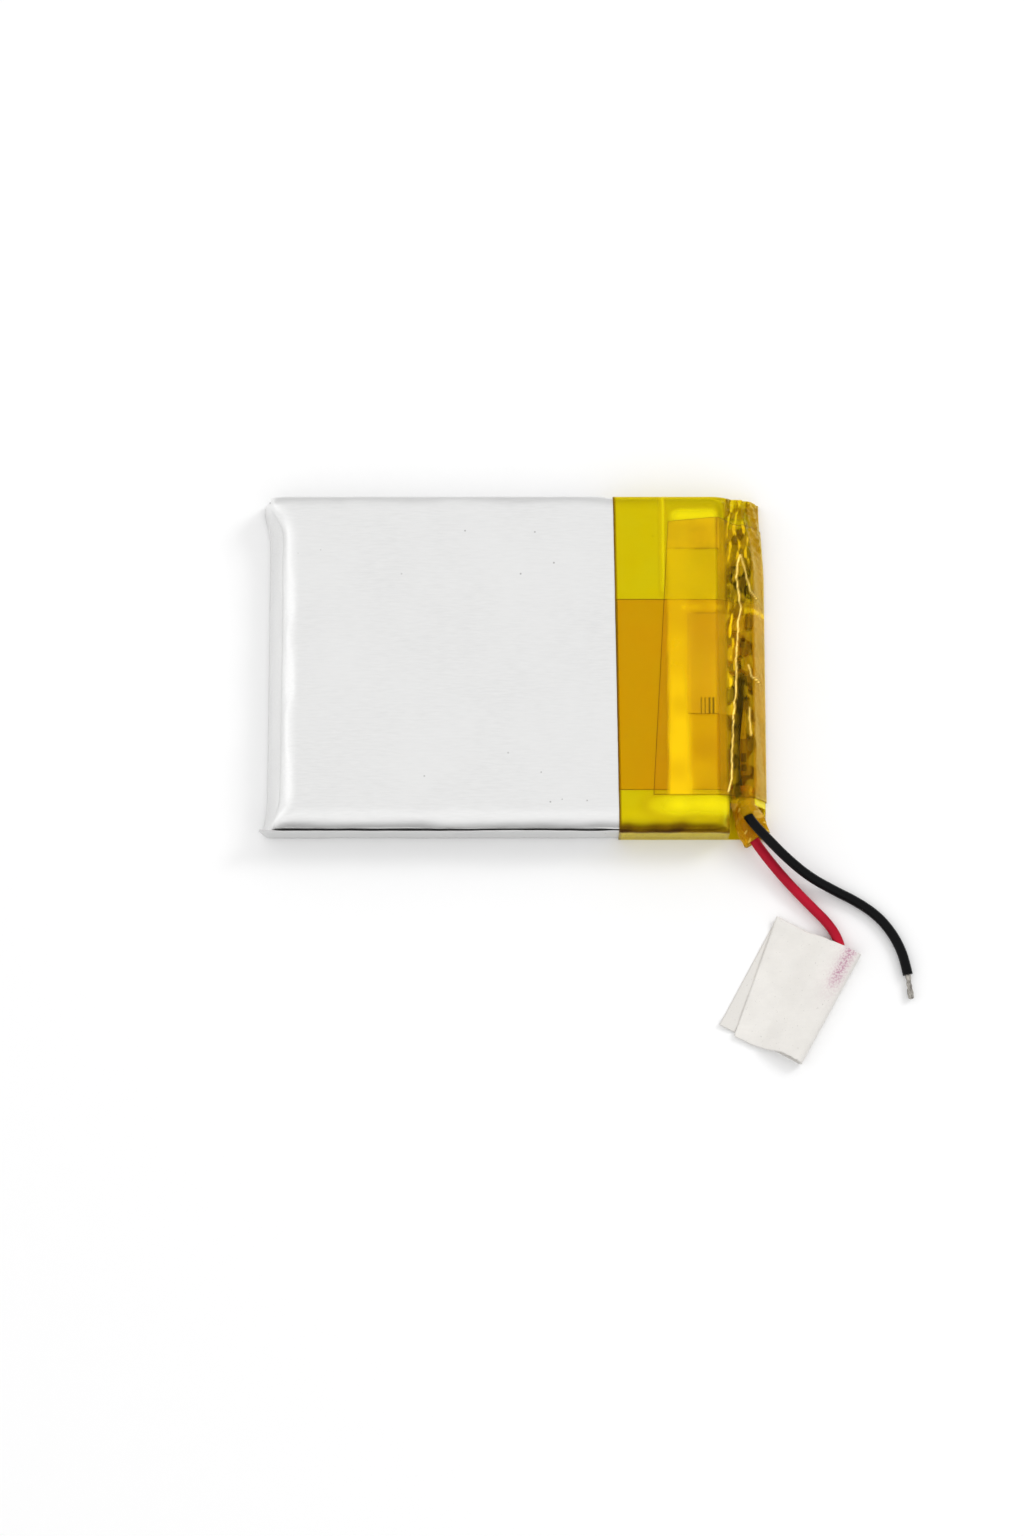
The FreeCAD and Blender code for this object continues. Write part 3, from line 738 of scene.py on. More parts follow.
def set_sky(scene, strength):
    """White surroundings by direction: brighter low at the left, dark low towards the near side,
    a little darker low at the far side and at the right. Seen directly they are plain white."""
    world = bpy.data.worlds.new("studio")
    scene.world = world
    world.use_nodes = True
    sky = Finish.__new__(Finish)
    sky.tree = world.node_tree
    sky.tree.nodes.clear()
    where = sky.add("ShaderNodeTexCoord", {}, "Generated")
    parts = sky.add("ShaderNodeSeparateXYZ", {"Vector": where}).node
    x, y, z = parts.outputs
    low = sky.span(z, 0.1, 0.8, 1.0, 0.0, True)
    high = sky.rise(z, 0.35, 0.8)
    near = sky.times(sky.rise(y, -0.58, -0.98), low)
    far = sky.times(sky.rise(y, 0.4, 0.9), low)
    side = sky.times(sky.rise(x, -0.15, -0.5), sky.span(z, 0.4, 0.97, 1.0, 0.0, True))
    band = sky.times(sky.span(y, 0.4, 0.62, 1.0, 0.0, True), sky.rise(y, -0.3, 0.0))
    left = sky.times(side, band)
    right = sky.times(sky.rise(x, 0.4, 0.95), low)
    rising = sky.times(sky.rise(y, -0.1, -0.3), high)
    level = sky.maths("SUBTRACT", 1.0, sky.times(near, 0.82))
    level = sky.maths("SUBTRACT", level, sky.times(far, 0.34))
    level = sky.maths("ADD", level, sky.times(left, 0.3))
    level = sky.maths("SUBTRACT", level, sky.times(right, 0.5))
    level = sky.maths("ADD", level, sky.times(rising, 0.12))
    level = sky.times(level, strength)
    seen = sky.add("ShaderNodeLightPath", {}, "Is Camera Ray")
    lit = sky.add("ShaderNodeBackground", {"Strength": level, "Color": (1, 1, 1, 1)})
    plain = sky.add("ShaderNodeBackground", {"Strength": 0.97, "Color": (1, 1, 1, 1)})
    sky.add(
        "ShaderNodeOutputWorld",
        {"Surface": sky.add("ShaderNodeMixShader", {0: seen, 1: lit, 2: plain})},
    )


def set_lamp(scene, name, place, size, power):
    """A square lamp that points at the object."""
    lamp = bpy.data.lights.new(name, "AREA")
    lamp.size = size
    lamp.energy = power
    item = bpy.data.objects.new(name, lamp)
    item.visible_glossy = False
    item.location = place
    aim = Vector((0.0, 0.0, 0.0)) - item.location
    item.rotation_euler = aim.to_track_quat("-Z", "Y").to_euler()
    scene.collection.objects.link(item)


# ---------------------------------------------------------------- leads


def lead_curve(name, route, radius):
    """A smooth open curve with the route's points as its control points."""
    curve = bpy.data.curves.new(name, "CURVE")
    curve.dimensions = "3D"
    curve.bevel_depth = radius
    curve.bevel_resolution = 6
    curve.use_fill_caps = True
    spline = curve.splines.new("NURBS")
    spline.points.add(len(route) - 1)
    for point, (x, y, z) in zip(spline.points, route):
        point.co = (x * MM, y * MM, z * MM, 1.0)
    spline.order_u = 3
    spline.use_endpoint_u = True
    spline.resolution_u = 12
    lead = bpy.data.objects.new(name, curve)
    bpy.context.scene.collection.objects.link(lead)
    return lead


def turned(name, start, direction, profile, ripple):
    """A turned solid along a direction: the profile's radius at each length, swung round the axis
    and roughened by noise, with both ends drawn to a point on the axis."""
    profile = np.array(profile)
    t = np.linspace(profile[0, 0], profile[-1, 0], 46)
    radius = np.interp(t, profile[:, 0], profile[:, 1])
    angle = np.linspace(0.0, 2 * math.pi, 28, endpoint=False)
    tt, aa = lattice(t, angle)
    rr = radius[:, None] * (1.0 + ripple * (noise(tt * 3, np.cos(aa) * 2, 0.9, 5) - 0.5))
    axis = np.array(direction) / np.linalg.norm(direction)
    side = np.cross(axis, (0.0, 0.0, 1.0))
    side /= np.linalg.norm(side)
    up = np.cross(side, axis)
    points = np.array(start) + tt[..., None] * axis
    points = points + rr[..., None] * (
        np.cos(aa)[..., None] * side + np.sin(aa)[..., None] * up
    )
    return surface(name, points, wrap=True)


class BATTERY_OT_leads(bpy.types.Operator):
    """Makes the black and red leads, the tinned end of the black one, and their materials."""

    bl_idname = "battery.leads"
    bl_label = "Leads"

    def execute(self, context):
        choice = settings("leads")
        radius = choice.diameter / 2
        black = lead_curve("black_lead", BLACK_ROUTE, radius)
        red = lead_curve("red_lead", RED_ROUTE, radius)
        end = np.array(BLACK_ROUTE[-1])
        tip_profile = (
            (-0.5, 0.0),
            (-0.5, 0.24),
            (0.0, 0.25),
            (0.35, 0.27),
            (0.7, 0.22),
            (1.0, 0.27),
            (1.35, 0.235),
            (1.6, 0.29),
            (2.0, 0.31),
            (2.35, 0.29),
            (2.5, 0.14),
            (2.5, 0.0),
        )
        tip = turned("black_lead_tinned_tip", end, (0.11, -0.994, 0.0), tip_profile, 0.3)
        finish_piece(
            black,
            plastic_finish("black_soft_plastic", choice.black, 0.3),
            "black_insulation",
            "black_lead_insulation",
        )
        finish_piece(
            red,
            plastic_finish("red_soft_plastic", choice.red, 0.42),
            "red_insulation",
            "red_lead_insulation",
        )
        tin = plain_finish(
            "tinned_copper",
            (0.08, 0.07, 0.06),
            (0.6, 0.57, 0.52),
            (2600, 1200, 2600),
            0.26,
            1.0,
            0.5,
        )
        finish_piece(tip, tin, "tinned_metal", "black_lead_conductor")
        return {"FINISHED"}


# ---------------------------------------------------------------- pouch


def shoulder(wide, lean, height, tight=0.4):
    """Half of a section's rounding as y in from the wall and share of the height, from the wall
    up: an arc of the tight radius until the surface leans by that many degrees from the face,
    then an arc of the wide radius up to the face."""
    lean = math.radians(lean)
    first = np.linspace(math.pi / 2, lean, 7)
    second = np.linspace(lean, 0.0, 18)[1:]
    corner_y = tight * (1 - math.sin(lean))
    y = [tight * (1 - np.sin(first)), corner_y + wide * (math.sin(lean) - np.sin(second))]
    drop = [wide * (1 - math.cos(lean)) + tight * (math.cos(lean) - np.cos(first))]
    drop.append(wide * (1 - np.cos(second)))
    return np.concatenate(y), 1 - np.concatenate(drop) / height


def section_loop(half_width, wide, height, top_steps, wall_steps, base_steps):
    """A closed loop round the pouch's cross-section as y and share of the height: up the near
    wall and shoulder, over the top, down the flatter far shoulder and back along the base."""
    near_y, near_h = shoulder(wide, 45.0, height)
    far_y, far_h = shoulder(wide * 0.87, 35.0, height)
    rising = np.linspace(0.0, near_h[0], wall_steps, endpoint=False)
    falling = np.linspace(0.0, far_h[0], wall_steps, endpoint=False)[::-1]
    top = np.linspace(-half_width + near_y[-1], half_width - far_y[-1], top_steps)[1:-1]
    base = np.linspace(half_width, -half_width, base_steps)[1:-1]
    y = [np.full_like(rising, -half_width), near_y - half_width, top, half_width - far_y[::-1]]
    y += [np.full_like(falling, half_width), base]
    h = [rising, near_h, np.ones_like(top), far_h[::-1], falling, np.zeros_like(base)]
    return np.concatenate(y), np.concatenate(h)


def pouch_shell(choice):
    """The deep half of the pouch. At (u, w) it is the point X(u), Y(w), base + height E(u) H(w):
    E rises along the sloped left end and round its edge, and H is the section's share of the
    height, so both ends close on the base. The left end is hollowed between its corners and
    shallow noise dents every face."""
    base, height = 0.23, 4.57
    half = 16.8
    radius = choice.edge_radius / MM
    y, share = section_loop(half, radius, height, 76, 9, 20)
    turn = np.linspace(0.0, math.pi / 2, 22)[1:]
    slope = np.linspace(0.0, 1.0, 12)
    edge = 1.75
    left_x = np.concatenate([-25.05 + 1.35 * slope, -23.7 + edge * (1 - np.cos(turn)) * 1.15])
    rise = (height - edge) / height
    left_e = np.concatenate([slope * rise, rise + (1 - rise) * np.sin(turn)])
    middle_x = np.linspace(left_x[-1], 19.9, 92)[1:-1]
    right_x = np.concatenate([19.9 + 1.4 * np.sin(turn), np.full(9, 21.3)])
    right_e = 1 - 1.4 / height * (1 - np.cos(turn))
    right_e = np.concatenate([right_e, np.linspace(right_e[-1], 0.0, 10)[1:]])
    x = np.concatenate([left_x, middle_x, right_x])
    e = np.concatenate([left_e, np.ones_like(middle_x), right_e])
    xx, yy = lattice(x, y)
    yy = np.where(yy > 0, yy * FAR_SPREAD, yy)
    ee, hh = lattice(e, share)
    toward_end = 1 - smooth(xx, -24.0, -19.5)
    corner = smooth(np.abs(yy), 12.5, 16.8)
    drawn = np.where(yy > 0, 1.75, 1.25) * corner**2
    xx = xx + toward_end * (0.22 - drawn) * (0.35 + 0.65 * ee)
    level = ee * hh
    dents = (noise(xx, yy, 7.0, 1) - 0.5) * 1.2 + (noise(xx, yy, 2.6, 2) - 0.5) * 0.45
    fine = (noise(xx, yy * 2.0, 0.9, 4) - 0.5) * 0.16
    near_round = bell(np.abs(yy), half - 1.1, 1.2) * smooth(ee, 0.9, 1.0)
    soft = (noise(xx, 0 * yy, 3.2, 6) - 0.5) * near_round * (1 - smooth(xx, 8.0, 9.5))
    wave = choice.waviness / MM * 2.0 * (1 - 0.85 * smooth(xx, 8.8, 9.8))
    z = base + height * level
    z = z + level * smooth(hh, 0.3, 0.9) * wave * (dents + fine) + 0.22 * soft * hh
    pull = bell(level, 0.55, 0.3) * bell(np.abs(yy), half, 0.5)
    yy = yy + np.sign(yy) * pull * 0.1 * (noise(xx, 0 * yy, 2.3, 7) - 0.5)
    wall = bell(ee, 0.45, 0.3) * toward_end
    xx = xx + wall * 0.16 * (noise(yy, z, 2.1, 9) - 0.5)
    xx = xx + toward_end * bell(ee, 0.92, 0.1) * 0.45 * (noise(yy, 0 * yy, 2.7, 12) - 0.5)
    yy = yy * (1 - 0.012 * (yy > 0) * smooth(xx, 8.6, 9.6) - 0.014 * smooth(xx, 19.6, 21.2))
    z = np.minimum(z, np.where(xx > 9.6, 4.79, 4.86))
    points = np.stack([xx, yy, z], axis=-1)
    return surface("pouch_shell", points, wrap=True)


def side_seam(name, side):
    """A long seam of two sheets folded up against the side: a leaf whose section is a thin loop,
    carried along x. Its upper edge wanders and its left corner is drawn out into an ear."""
    x = np.concatenate([np.linspace(-25.0, -22.0, 26), np.linspace(-22.0, 21.2, 130)[1:]])
    turn = np.linspace(0.0, 2 * math.pi, 26, endpoint=False)
    up = np.sin(turn)
    out = np.cos(turn)
    xx, uu = lattice(x, up)
    _, oo = lattice(x, out)
    tall = np.sign(uu) * np.abs(uu) ** 0.35
    flat = np.sign(oo) * np.abs(oo) ** 0.5
    tallest = 3.78 if side < 0 else 2.3
    edge = tallest + 0.3 * (noise(x, 0 * x, 4.5, 31 + side) - 0.5)
    edge = edge + 0.1 * (noise(x, 0 * x, 1.1, 33 + side) - 0.5)
    edge = edge - 0.22 * smooth(x, 8.4, 9.6)
    peak = 3.84 if side < 0 else 2.5
    edge = edge + (peak - tallest) * (1 - smooth(x, -25.0, -22.9))
    low = 0.13
    z = low + (edge[:, None] - low) * (tall + 1) / 2
    lean = 0.07 * (noise(xx, z, 2.5, 35 + side) - 0.5) + 0.05 * smooth(z, 2.6, 3.8)
    corner = 1 - smooth(xx, -25.0, -23.4)
    thick = 0.09 if side < 0 else 0.04
    middle = 16.98 if side < 0 else 17.36 - 0.2 * (1 - smooth(xx, -25.0, -23.0))
    taped = smooth(xx, 8.5, 9.6)
    spread, sway = (0, 1) if side < 0 else (0.2, 0.3)
    y = middle + spread * (1 - taped) + thick * flat + lean * sway * (1 - 0.7 * taped)
    y = y - 0.05 * taped
    y = y - 0.1 * corner * smooth(z, 1.0, 3.6)
    reach = (0.6 if side < 0 else 0.12) * smooth(z, 0.6, 3.4)
    reach = reach + 0.1 * (noise(z, z, 0.8, 38 + side) - 0.5)
    xs = xx - (1 - smooth(xx, -25.0, -24.0)) * reach
    points = np.stack([xs, side * y, z], axis=-1)
    first = points[:1].mean(axis=1, keepdims=True) + 0 * points[:1]
    last = points[-1:].mean(axis=1, keepdims=True) + 0 * points[-1:]
    return surface(name, np.concatenate([first, points, last]), wrap=True)


def back_film():
    """The flat half of the pouch, with the end seam folded up at the lead end: a profile in x and z
    carried across y, which narrows past the cell's wall."""
    path = np.array(
        [(-24.9, 0.2), (-24.6, 0.13), (21.3, 0.14), (24.7, 0.15), (24.95, 0.5), (23.9, 2.55)]
    )
    steps = np.concatenate(
        [np.linspace(0, 2, 40), np.linspace(2, 3, 8)[1:], np.linspace(3, 5, 22)[1:]]
    )
    x = np.interp(steps, range(6), path[:, 0])
    z = np.interp(steps, range(6), path[:, 1])
    v = np.linspace(0.0, 1.0, 70)
    shrink = smooth(x, 21.0, 21.8)[:, None]
    low = -16.85 + shrink * 3.3
    high = 16.85 - shrink * 0.6
    y = low + (high - low) * v
    xx, _ = lattice(x, v)
    xx = xx - 0.8 * smooth(y, 8.0, 16.0) * smooth(xx, 22.5, 24.5)
    zz = z[:, None] + 0 * y
    zz = zz + 0.03 * (noise(xx, y, 2.2, 41) - 0.5) * smooth(zz, 0.3, 1.5)
    return film("pouch_back_film", np.stack([xx, y, zz], axis=-1), {}, 0.09)


class BATTERY_OT_pouch(bpy.types.Operator):
    """Makes the foil pouch: the deep half, the back film and the two side seams."""

    bl_idname = "battery.pouch"
    bl_label = "Pouch"

    def execute(self, context):
        choice = settings("pouch")
        foil = foil_finish("foil_laminate", choice.foil, choice.haze)
        # Painted shade: a copy of the foil at 0.86 of its brightness for the back film and the side
        # seams.
        seam = foil_finish("shaded_foil_seam", scaled(choice.foil, 0.86), choice.haze + 0.05)
        finish_piece(pouch_shell(choice), foil, "laminate_film", "pouch_cup")
        finish_piece(back_film(), seam, "laminate_film", "pouch_cover")
        for name, side in (("near_side_seam", -1), ("far_side_seam", 1)):
            finish_piece(side_seam(name, side), seam, "laminate_film", "pouch_cover")
        return {"FINISHED"}


# ---------------------------------------------------------------- films


def film_point(s, y, offset):
    """Points of a film at arc length s and width y: the canopy moved out by offset and by the
    shared crumples, with the nose drawn in at the far corner."""
    x, z, nx, nz = canopy(s, offset)
    rise = film_relief(s, y, x)
    drawn = 0.35 * smooth(y, 9.0, 17.0) * smooth(s, 12.5, 15.5) * (1 - smooth(s, 19.0, 21.0))
    sunk = 0.35 * smooth(y, 12.0, 16.5) * smooth(s, 11.0, 12.5) * (1 - smooth(s, 15.0, 16.5))
    return x + nx * rise - drawn, z + nz * rise - sunk


def film_marks(s, y, x, haze, tone, edge, bare=1.0):
    """The marks that the film's material reads. bare is 1 where no other film covers this one, and
    only there do the painted crease highlights, painted glints and painted shade patches show."""
    nose = smooth(s, 14.35, 14.75)
    nose_haze = nose * (0.24 + 0.1 * (noise(s, y, 0.8, 51) - 0.5))
    inside = smooth(s, 11.2, 11.8) * (1 - nose)
    # Painted highlight along the creases.
    crease = crease_depth(x, y) * smooth(s, 11.0, 11.4) * (1 - smooth(s, 15.2, 15.8))
    # Painted highlights: golden glints in the valley by the board, at the far corner and in broad
    # patches, not over the lead.
    valley = bell(x, 21.8, 0.32) * smooth(y, -4.6, -1.0) * smooth(-y, -7.4, -6.0)
    corner = smooth(y, 10.2, 11.6) * smooth(x, 21.2, 21.6)
    over_lead = bell(x, 22.6, 0.55) * smooth(-y, 0.6, 1.8)
    where = np.clip(0.95 * valley + 0.9 * corner + 0.16 * (1 - over_lead), 0.0, 1.0)
    sharp = facets(x * 1.7, y * 0.45, 0.95, 77, 5)
    broad = facets(x * 1.0, y * 0.5, 1.3, 78, 4)
    painted_glints = smooth(sharp, 0.57, 0.61) * where + 0.3 * smooth(broad, 0.52, 0.58) * (1 - over_lead)
    painted_glints = np.clip(painted_glints, 0.0, 1.0) * inside * bare
    # Painted shade: dark patches between the glints, carried by the edge mark.
    dark = smooth(-broad, -0.42, -0.36) * inside * bare * (1 - over_lead)
    return {
        "haze": haze * (1 - 0.85 * inside) + nose_haze + 0.62 * painted_glints,
        "tone": np.maximum(tone, 0.5 * painted_glints),
        "crease": np.clip(crease, 0.0, 1.0) * bare,
        "edge": np.maximum(edge, 0.32 * dark * (1 - painted_glints)),
    }


def wrap_film(choice):
    """The film round the whole end. At (s, w) it is the canopy's point at arc length s, with its
    height scaled by the section's share at w, so it is a bag that closes under the nose."""
    half = 17.2
    underside = WRAP_STANDOFF
    y, share = section_loop(half, 3.1, 4.8, 150, 10, 40)
    s = np.concatenate([np.linspace(0.1, SLOPE_START, 34), np.linspace(SLOPE_START, 17.7, 84)[1:]])
    ss, yy = lattice(s, y)
    _, hh = lattice(s, share)
    x, z = film_point(ss, yy, WRAP_STANDOFF)
    z = underside + (z - underside) * hh
    z[-1] = underside
    skew = (1 - smooth(ss, 0.1, 3.0)) * (0.2 - 0.014 * yy)
    x = x + skew + 0.02 * (noise(yy, hh, 0.6, 61) - 0.5) * (ss < 0.3)
    yy = np.where(yy > 0, yy * TAPED_SPREAD, yy)
    pull = bell(hh, 0.45, 0.25) * 0.06 * (noise(ss, hh * 4, 1.3, 62) - 0.5)
    yy = yy + np.sign(yy) * pull
    wrinkle = smooth(-yy, 13.2, 14.5) * smooth(hh, 0.75, 1.0) * smooth(ss, 3.0, 6.0)
    z = z + wrinkle * 0.2 * facets(x * 0.5, yy, 1.1, 64, 3)
    edge = 0.6 * (ss < 0.12) + 0 * yy
    # Painted light: bright bands low on the near side, high on the far side and across the far half,
    # which feed the haze and tone marks.
    low_band = 1.2 * bell(yy, -14.6, 1.0) * smooth(ss, 2.0, 6.5)
    low_band = low_band * (0.5 + 0.5 * noise(ss, yy, 1.6, 66))
    top_band = bell(yy, 15.2, 0.8) * smooth(ss, 5.0, 7.0) * (1 - smooth(ss, 10.0, 11.0)) * 0.8
    side_band = bell(ss, 5.05, 0.24) * smooth(yy, 6.4, 8.0) * 0.6
    painted_light = np.clip(low_band + top_band + side_band, 0.0, 1.0) * smooth(hh, 0.6, 0.9)
    # Painted shade: a dark jagged line along the near rounding, carried by the edge mark.
    jag = 0.09 * (facets(ss, 0 * yy, 2.1, 68, 3) - 0.5)
    painted_shade_line = bell(hh, 0.79 + jag, 0.07) * (yy < 0) * (0.65 + 0.6 * noise(ss, 0 * yy, 2.0, 67))
    edge = np.maximum(edge, painted_shade_line)
    marks = film_marks(
        ss, yy, x, 0.03 + 0.55 * painted_light, smooth(painted_light, 0.05, 0.4), edge, smooth(yy, 14.5, 14.8)
    )
    points = np.stack([x, yy, z], axis=-1)

    def notch(centre):
        return (centre[:, 0] > 21.4) & (centre[:, 1] < -14.3) & (centre[:, 2] > 0.4)

    return surface(
        "wrap_film",
        points,
        wrap=True,
        drop=notch,
        marks=marks,
        thickness=choice.thickness / MM,
    )


def strip_rows(start, stop):
    """Arc lengths for a strip, close together over the board and the nose."""
    pieces = []
    for low, high, count in ((0.0, SLOPE_START, 30), (SLOPE_START, NOSE_END, 84)):
        low, high = max(low, start), min(high, stop)
        if high > low:
            pieces.append(np.linspace(low, high, count)[:-1])
    if stop > NOSE_END:
        pieces.append(np.linspace(NOSE_END, stop, 24)[:-1])
    return np.append(np.concatenate(pieces), stop)


def cut_edges(rows, columns, sides):
    """1 on the outermost points of the named sides of a grid, else 0."""
    edge = np.zeros((rows, columns))
    if "start" in sides:
        edge[0] = 1.0
    if "stop" in sides:
        edge[-1] = 1.0
    if "low" in sides:
        edge[:, 0] = 1.0
    if "high" in sides:
        edge[:, -1] = 1.0
    return edge


def with_edge_lines(values, width):
    """Adds a value close inside each end, so that a cut edge shows as a narrow line."""
    return np.sort(np.concatenate([values, [values[0] + width, values[-1] - width]]))


def end_strip(choice):
    """The strip over, round and under the end, between two straight edges."""
    s = with_edge_lines(strip_rows(0.42, 32.2), 0.07)
    y = with_edge_lines(np.linspace(-13.05, 6.55, 150), 0.07)
    ss, yy = lattice(s, y)
    x, z = film_point(ss, yy, STRIP_STANDOFF)
    x = x + (1 - smooth(ss, 0.4, 3.0)) * (-0.0045 * yy)
    z = np.maximum(z, 0.004)
    edge = 0.75 * cut_edges(len(s), len(y), ("start", "low", "high"))
    # Painted light in faint random patches, by the tone mark.
    tone = 0.3 * noise(ss, yy, 3.0, 71)
    marks = film_marks(ss, yy, x, 0.03, tone, edge, 0.0)
    points = np.stack([x, yy, z], axis=-1)
    return film("end_strip_film", points, marks, choice.thickness / MM)


def board_film(choice):
    """The film that holds the board, with a slanted left edge. Each row runs from that edge at
    arc length start(y) to the nose."""
    t = np.concatenate(
        [[0.0, 0.004], np.linspace(0.012, 0.36, 26), np.linspace(0.36, 1.0, 122)[1:]]
    )
    y = with_edge_lines(np.linspace(-13.55, 14.65, 200), 0.07)
    tt, yy = lattice(t, y)
    start = 4.75 + 0.0588 * yy
    knee = start + (SLOPE_START - start) * np.clip(tt / 0.36, 0, 1)
    ss = knee + (NOSE_END - SLOPE_START) * np.clip((tt - 0.36) / 0.64, 0, 1)
    yy = yy + smooth(yy, 8.0, 14.65) * 0.095 * (ss - 5.6) * (1 - smooth(ss, 10.4, 12.5))
    yy = np.minimum(yy, 15.3)
    x, z = film_point(ss, yy, BOARD_STANDOFF)
    lift = bell(ss, 6.2, 0.9) * 0.03 + 0.05 * (noise(ss, yy, 2.4, 82) - 0.5)
    z = z + np.maximum(lift, -0.05) * (1 - smooth(ss, 9.5, 10.4)) * smooth(tt, 0.0, 0.06)
    edge = 0.9 * cut_edges(len(t), len(y), ("start", "low", "high"))
    # Painted light: bright bands across the film over the board, which feed the haze and tone marks.
    band = smooth(ss, 5.35, 5.9) * (1 - smooth(ss, 6.9, 8.1))
    band = band * (0.35 + 0.65 * smooth(-yy, -3.0, 9.0)) * (1 - 0.8 * smooth(yy, 5.8, 7.0))
    painted_light = band + 0.8 * bell(ss, 7.0, 0.9) * bell(yy, -12.6, 1.0)
    painted_light = painted_light + 0.5 * bell(yy, 5.7, 0.35) * smooth(ss, 6.6, 7.2) * noise(ss, yy, 0.7, 84)
    painted_light = painted_light + 0.3 * smooth(ss, 5.3, 5.5) * (1 - smooth(ss, 10.3, 10.5))
    painted_light = np.clip(painted_light, 0.0, 1.0)
    painted_light = painted_light * (0.75 + 0.5 * (noise(ss, yy, 2.2, 83) - 0.5))
    fold = smooth(yy, 11.75, 11.95) * (1 - smooth(ss, 10.6, 10.9)) * smooth(ss, 5.3, 5.5)
    edge = np.maximum(edge, 0.7 * bell(yy, 11.85, 0.06) * smooth(ss, 6.2, 6.5) * fold)
    slope = smooth(ss, 10.5, 10.6) * (1 - smooth(ss, 11.4, 11.9))
    cloud = 0.02 + 0.54 * painted_light + 0.4 * fold + 0.25 * slope
    tone = smooth(painted_light, 0.02, 0.3) * (1 - 0.6 * fold) * (1 - 0.6 * slope)
    marks = film_marks(ss, yy, x, cloud, tone, edge)
    points = np.stack([x, yy, z], axis=-1)
    return film("board_film", points, marks, choice.thickness / MM)


def short_strip(choice):
    """The short patch on top, with a dark lower end cut by fine snips."""
    s = with_edge_lines(np.linspace(7.45, 12.1, 60), 0.05)
    y = with_edge_lines(np.linspace(-5.3, 5.1, 110), 0.06)
    ss, yy = lattice(s, y)
    x, z = film_point(ss, yy, PATCH_STANDOFF)
    snips = (np.cos(ss * 2 * math.pi / 0.4) > 0.6) & (yy < -3.6) & (ss > 8.4) & (ss < 10.2)
    edge = cut_edges(len(s), len(y), ("low",)) * (ss < 10.6)
    edge = np.maximum(edge, 0.8 * cut_edges(len(s), len(y), ("high",)) * (ss > 8.2) * (ss < 10.4))
    edge = np.maximum(edge, 0.9 * snips * smooth(noise(ss * 9, yy * 2, 1.0, 91), 0.0, 0.25))
    # Painted light: a tone mark of 0.9 lights the whole patch.
    marks = film_marks(ss, yy, x, 0.06, 0.9 + 0 * yy, edge)
    points = np.stack([x, yy, z], axis=-1)
    return film("short_strip_film", points, marks, choice.thickness / MM)


def exit_funnel(choice):
    """The crumpled sleeve of film where the leads come out: an oval ring carried along a bent line
    and folded by facets. Its upper half drops at the step, where the black lead leaves it."""
    t = np.linspace(0.0, 1.0, 64)
    turn = np.linspace(0.0, 2 * math.pi, 110, endpoint=False)
    tt, angle = lattice(t, turn)
    around = angle / math.pi
    centre = np.array([(22.7, -12.3, 1.75), (23.2, -15.0, 1.7), (24.25, -17.4, 1.35)])
    cx, cy, cz = (np.interp(t, (0, 0.5, 1), centre[:, k])[:, None] for k in range(3))
    heading = np.interp(t, (0, 0.5, 1), (-1.4, -1.2, -1.0))[:, None]
    fold = facets(tt * 3.4, np.cos(angle) * 1.3 + around, 1.0, 101, 5)
    small = facets(tt * 9.0, np.sin(angle) * 3.0 + around * 2, 1.0, 102, 4)
    rough = 0.42 * (fold - 0.5) + 0.14 * (small - 0.5)
    across = 1.2 + 0.35 * smooth(tt, 0.2, 0.8) + rough
    upper = 1.5 + 0.6 * smooth(tt, 0.12, 0.36) - 1.55 * smooth(tt, 0.52, 0.62)
    up = np.where(np.sin(angle) > 0, upper + 0.4 * rough, 1.35 + rough)
    x = cx + np.sin(heading) * np.cos(angle) * across
    y = cy - np.cos(heading) * np.cos(angle) * across
    z = np.clip(cz + np.sin(angle) * up, 0.06, None)
    y = y + 0.3 * (noise(around * 4, around, 1.0, 104) - 0.5) * smooth(tt, 0.8, 1.0)
    # Painted highlights along the funnel's folds; the tone mark adds patches of painted light.
    crease = smooth(fold, 0.7, 0.76) * 0.25 + smooth(small, 0.72, 0.8) * 0.3
    marks = {
        "haze": 0.34 + 0.2 * (noise(tt * 6, around * 5, 1.0, 103) - 0.5),
        "tone": 0.45 * noise(tt * 5, around * 4, 1.0, 105),
        "crease": np.clip(crease, 0.0, 1.0),
        "edge": 0.5 * cut_edges(len(t), len(turn), ("stop",)),
    }
    points = np.stack([x, y, z], axis=-1)
    return surface("exit_funnel_film", points, wrap=True, marks=marks, thickness=choice.thickness / MM)


class BATTERY_OT_films(bpy.types.Operator):
    """Makes the amber films round the lead end, each as its own crumpled sheet."""

    bl_idname = "battery.films"
    bl_label = "Films"

    def execute(self, context):
        choice = settings("tapes")
        body = choice.film_body
        # The last colour of each film is the colour of its painted light.
        wrap = film_finish("wrap_film_amber", choice.wrap_tint, body, (0.93, 0.82, 0.004))
        strip = film_finish("end_strip_amber", choice.strip_tint, body, (0.9, 0.5, 0.003))
        light = film_finish("board_film_amber", choice.board_tint, body, (1.0, 0.7, 0.002))
        finish_piece(wrap_film(choice), wrap, "polyimide", "polyimide_wrap_tape")
        finish_piece(end_strip(choice), strip, "polyimide", "polyimide_end_strip")
        finish_piece(board_film(choice), light, "polyimide", "polyimide_board_tape")
        clear = film_finish("short_strip_amber", (0.996, 0.985, 0.9), body, (1.0, 0.7, 0.002))
        finish_piece(short_strip(choice), clear, "polyimide", "polyimide_short_strip")
        finish_piece(exit_funnel(choice), strip, "polyimide", "lead_exit_tape")
        return {"FINISHED"}


# ---------------------------------------------------------------- flag


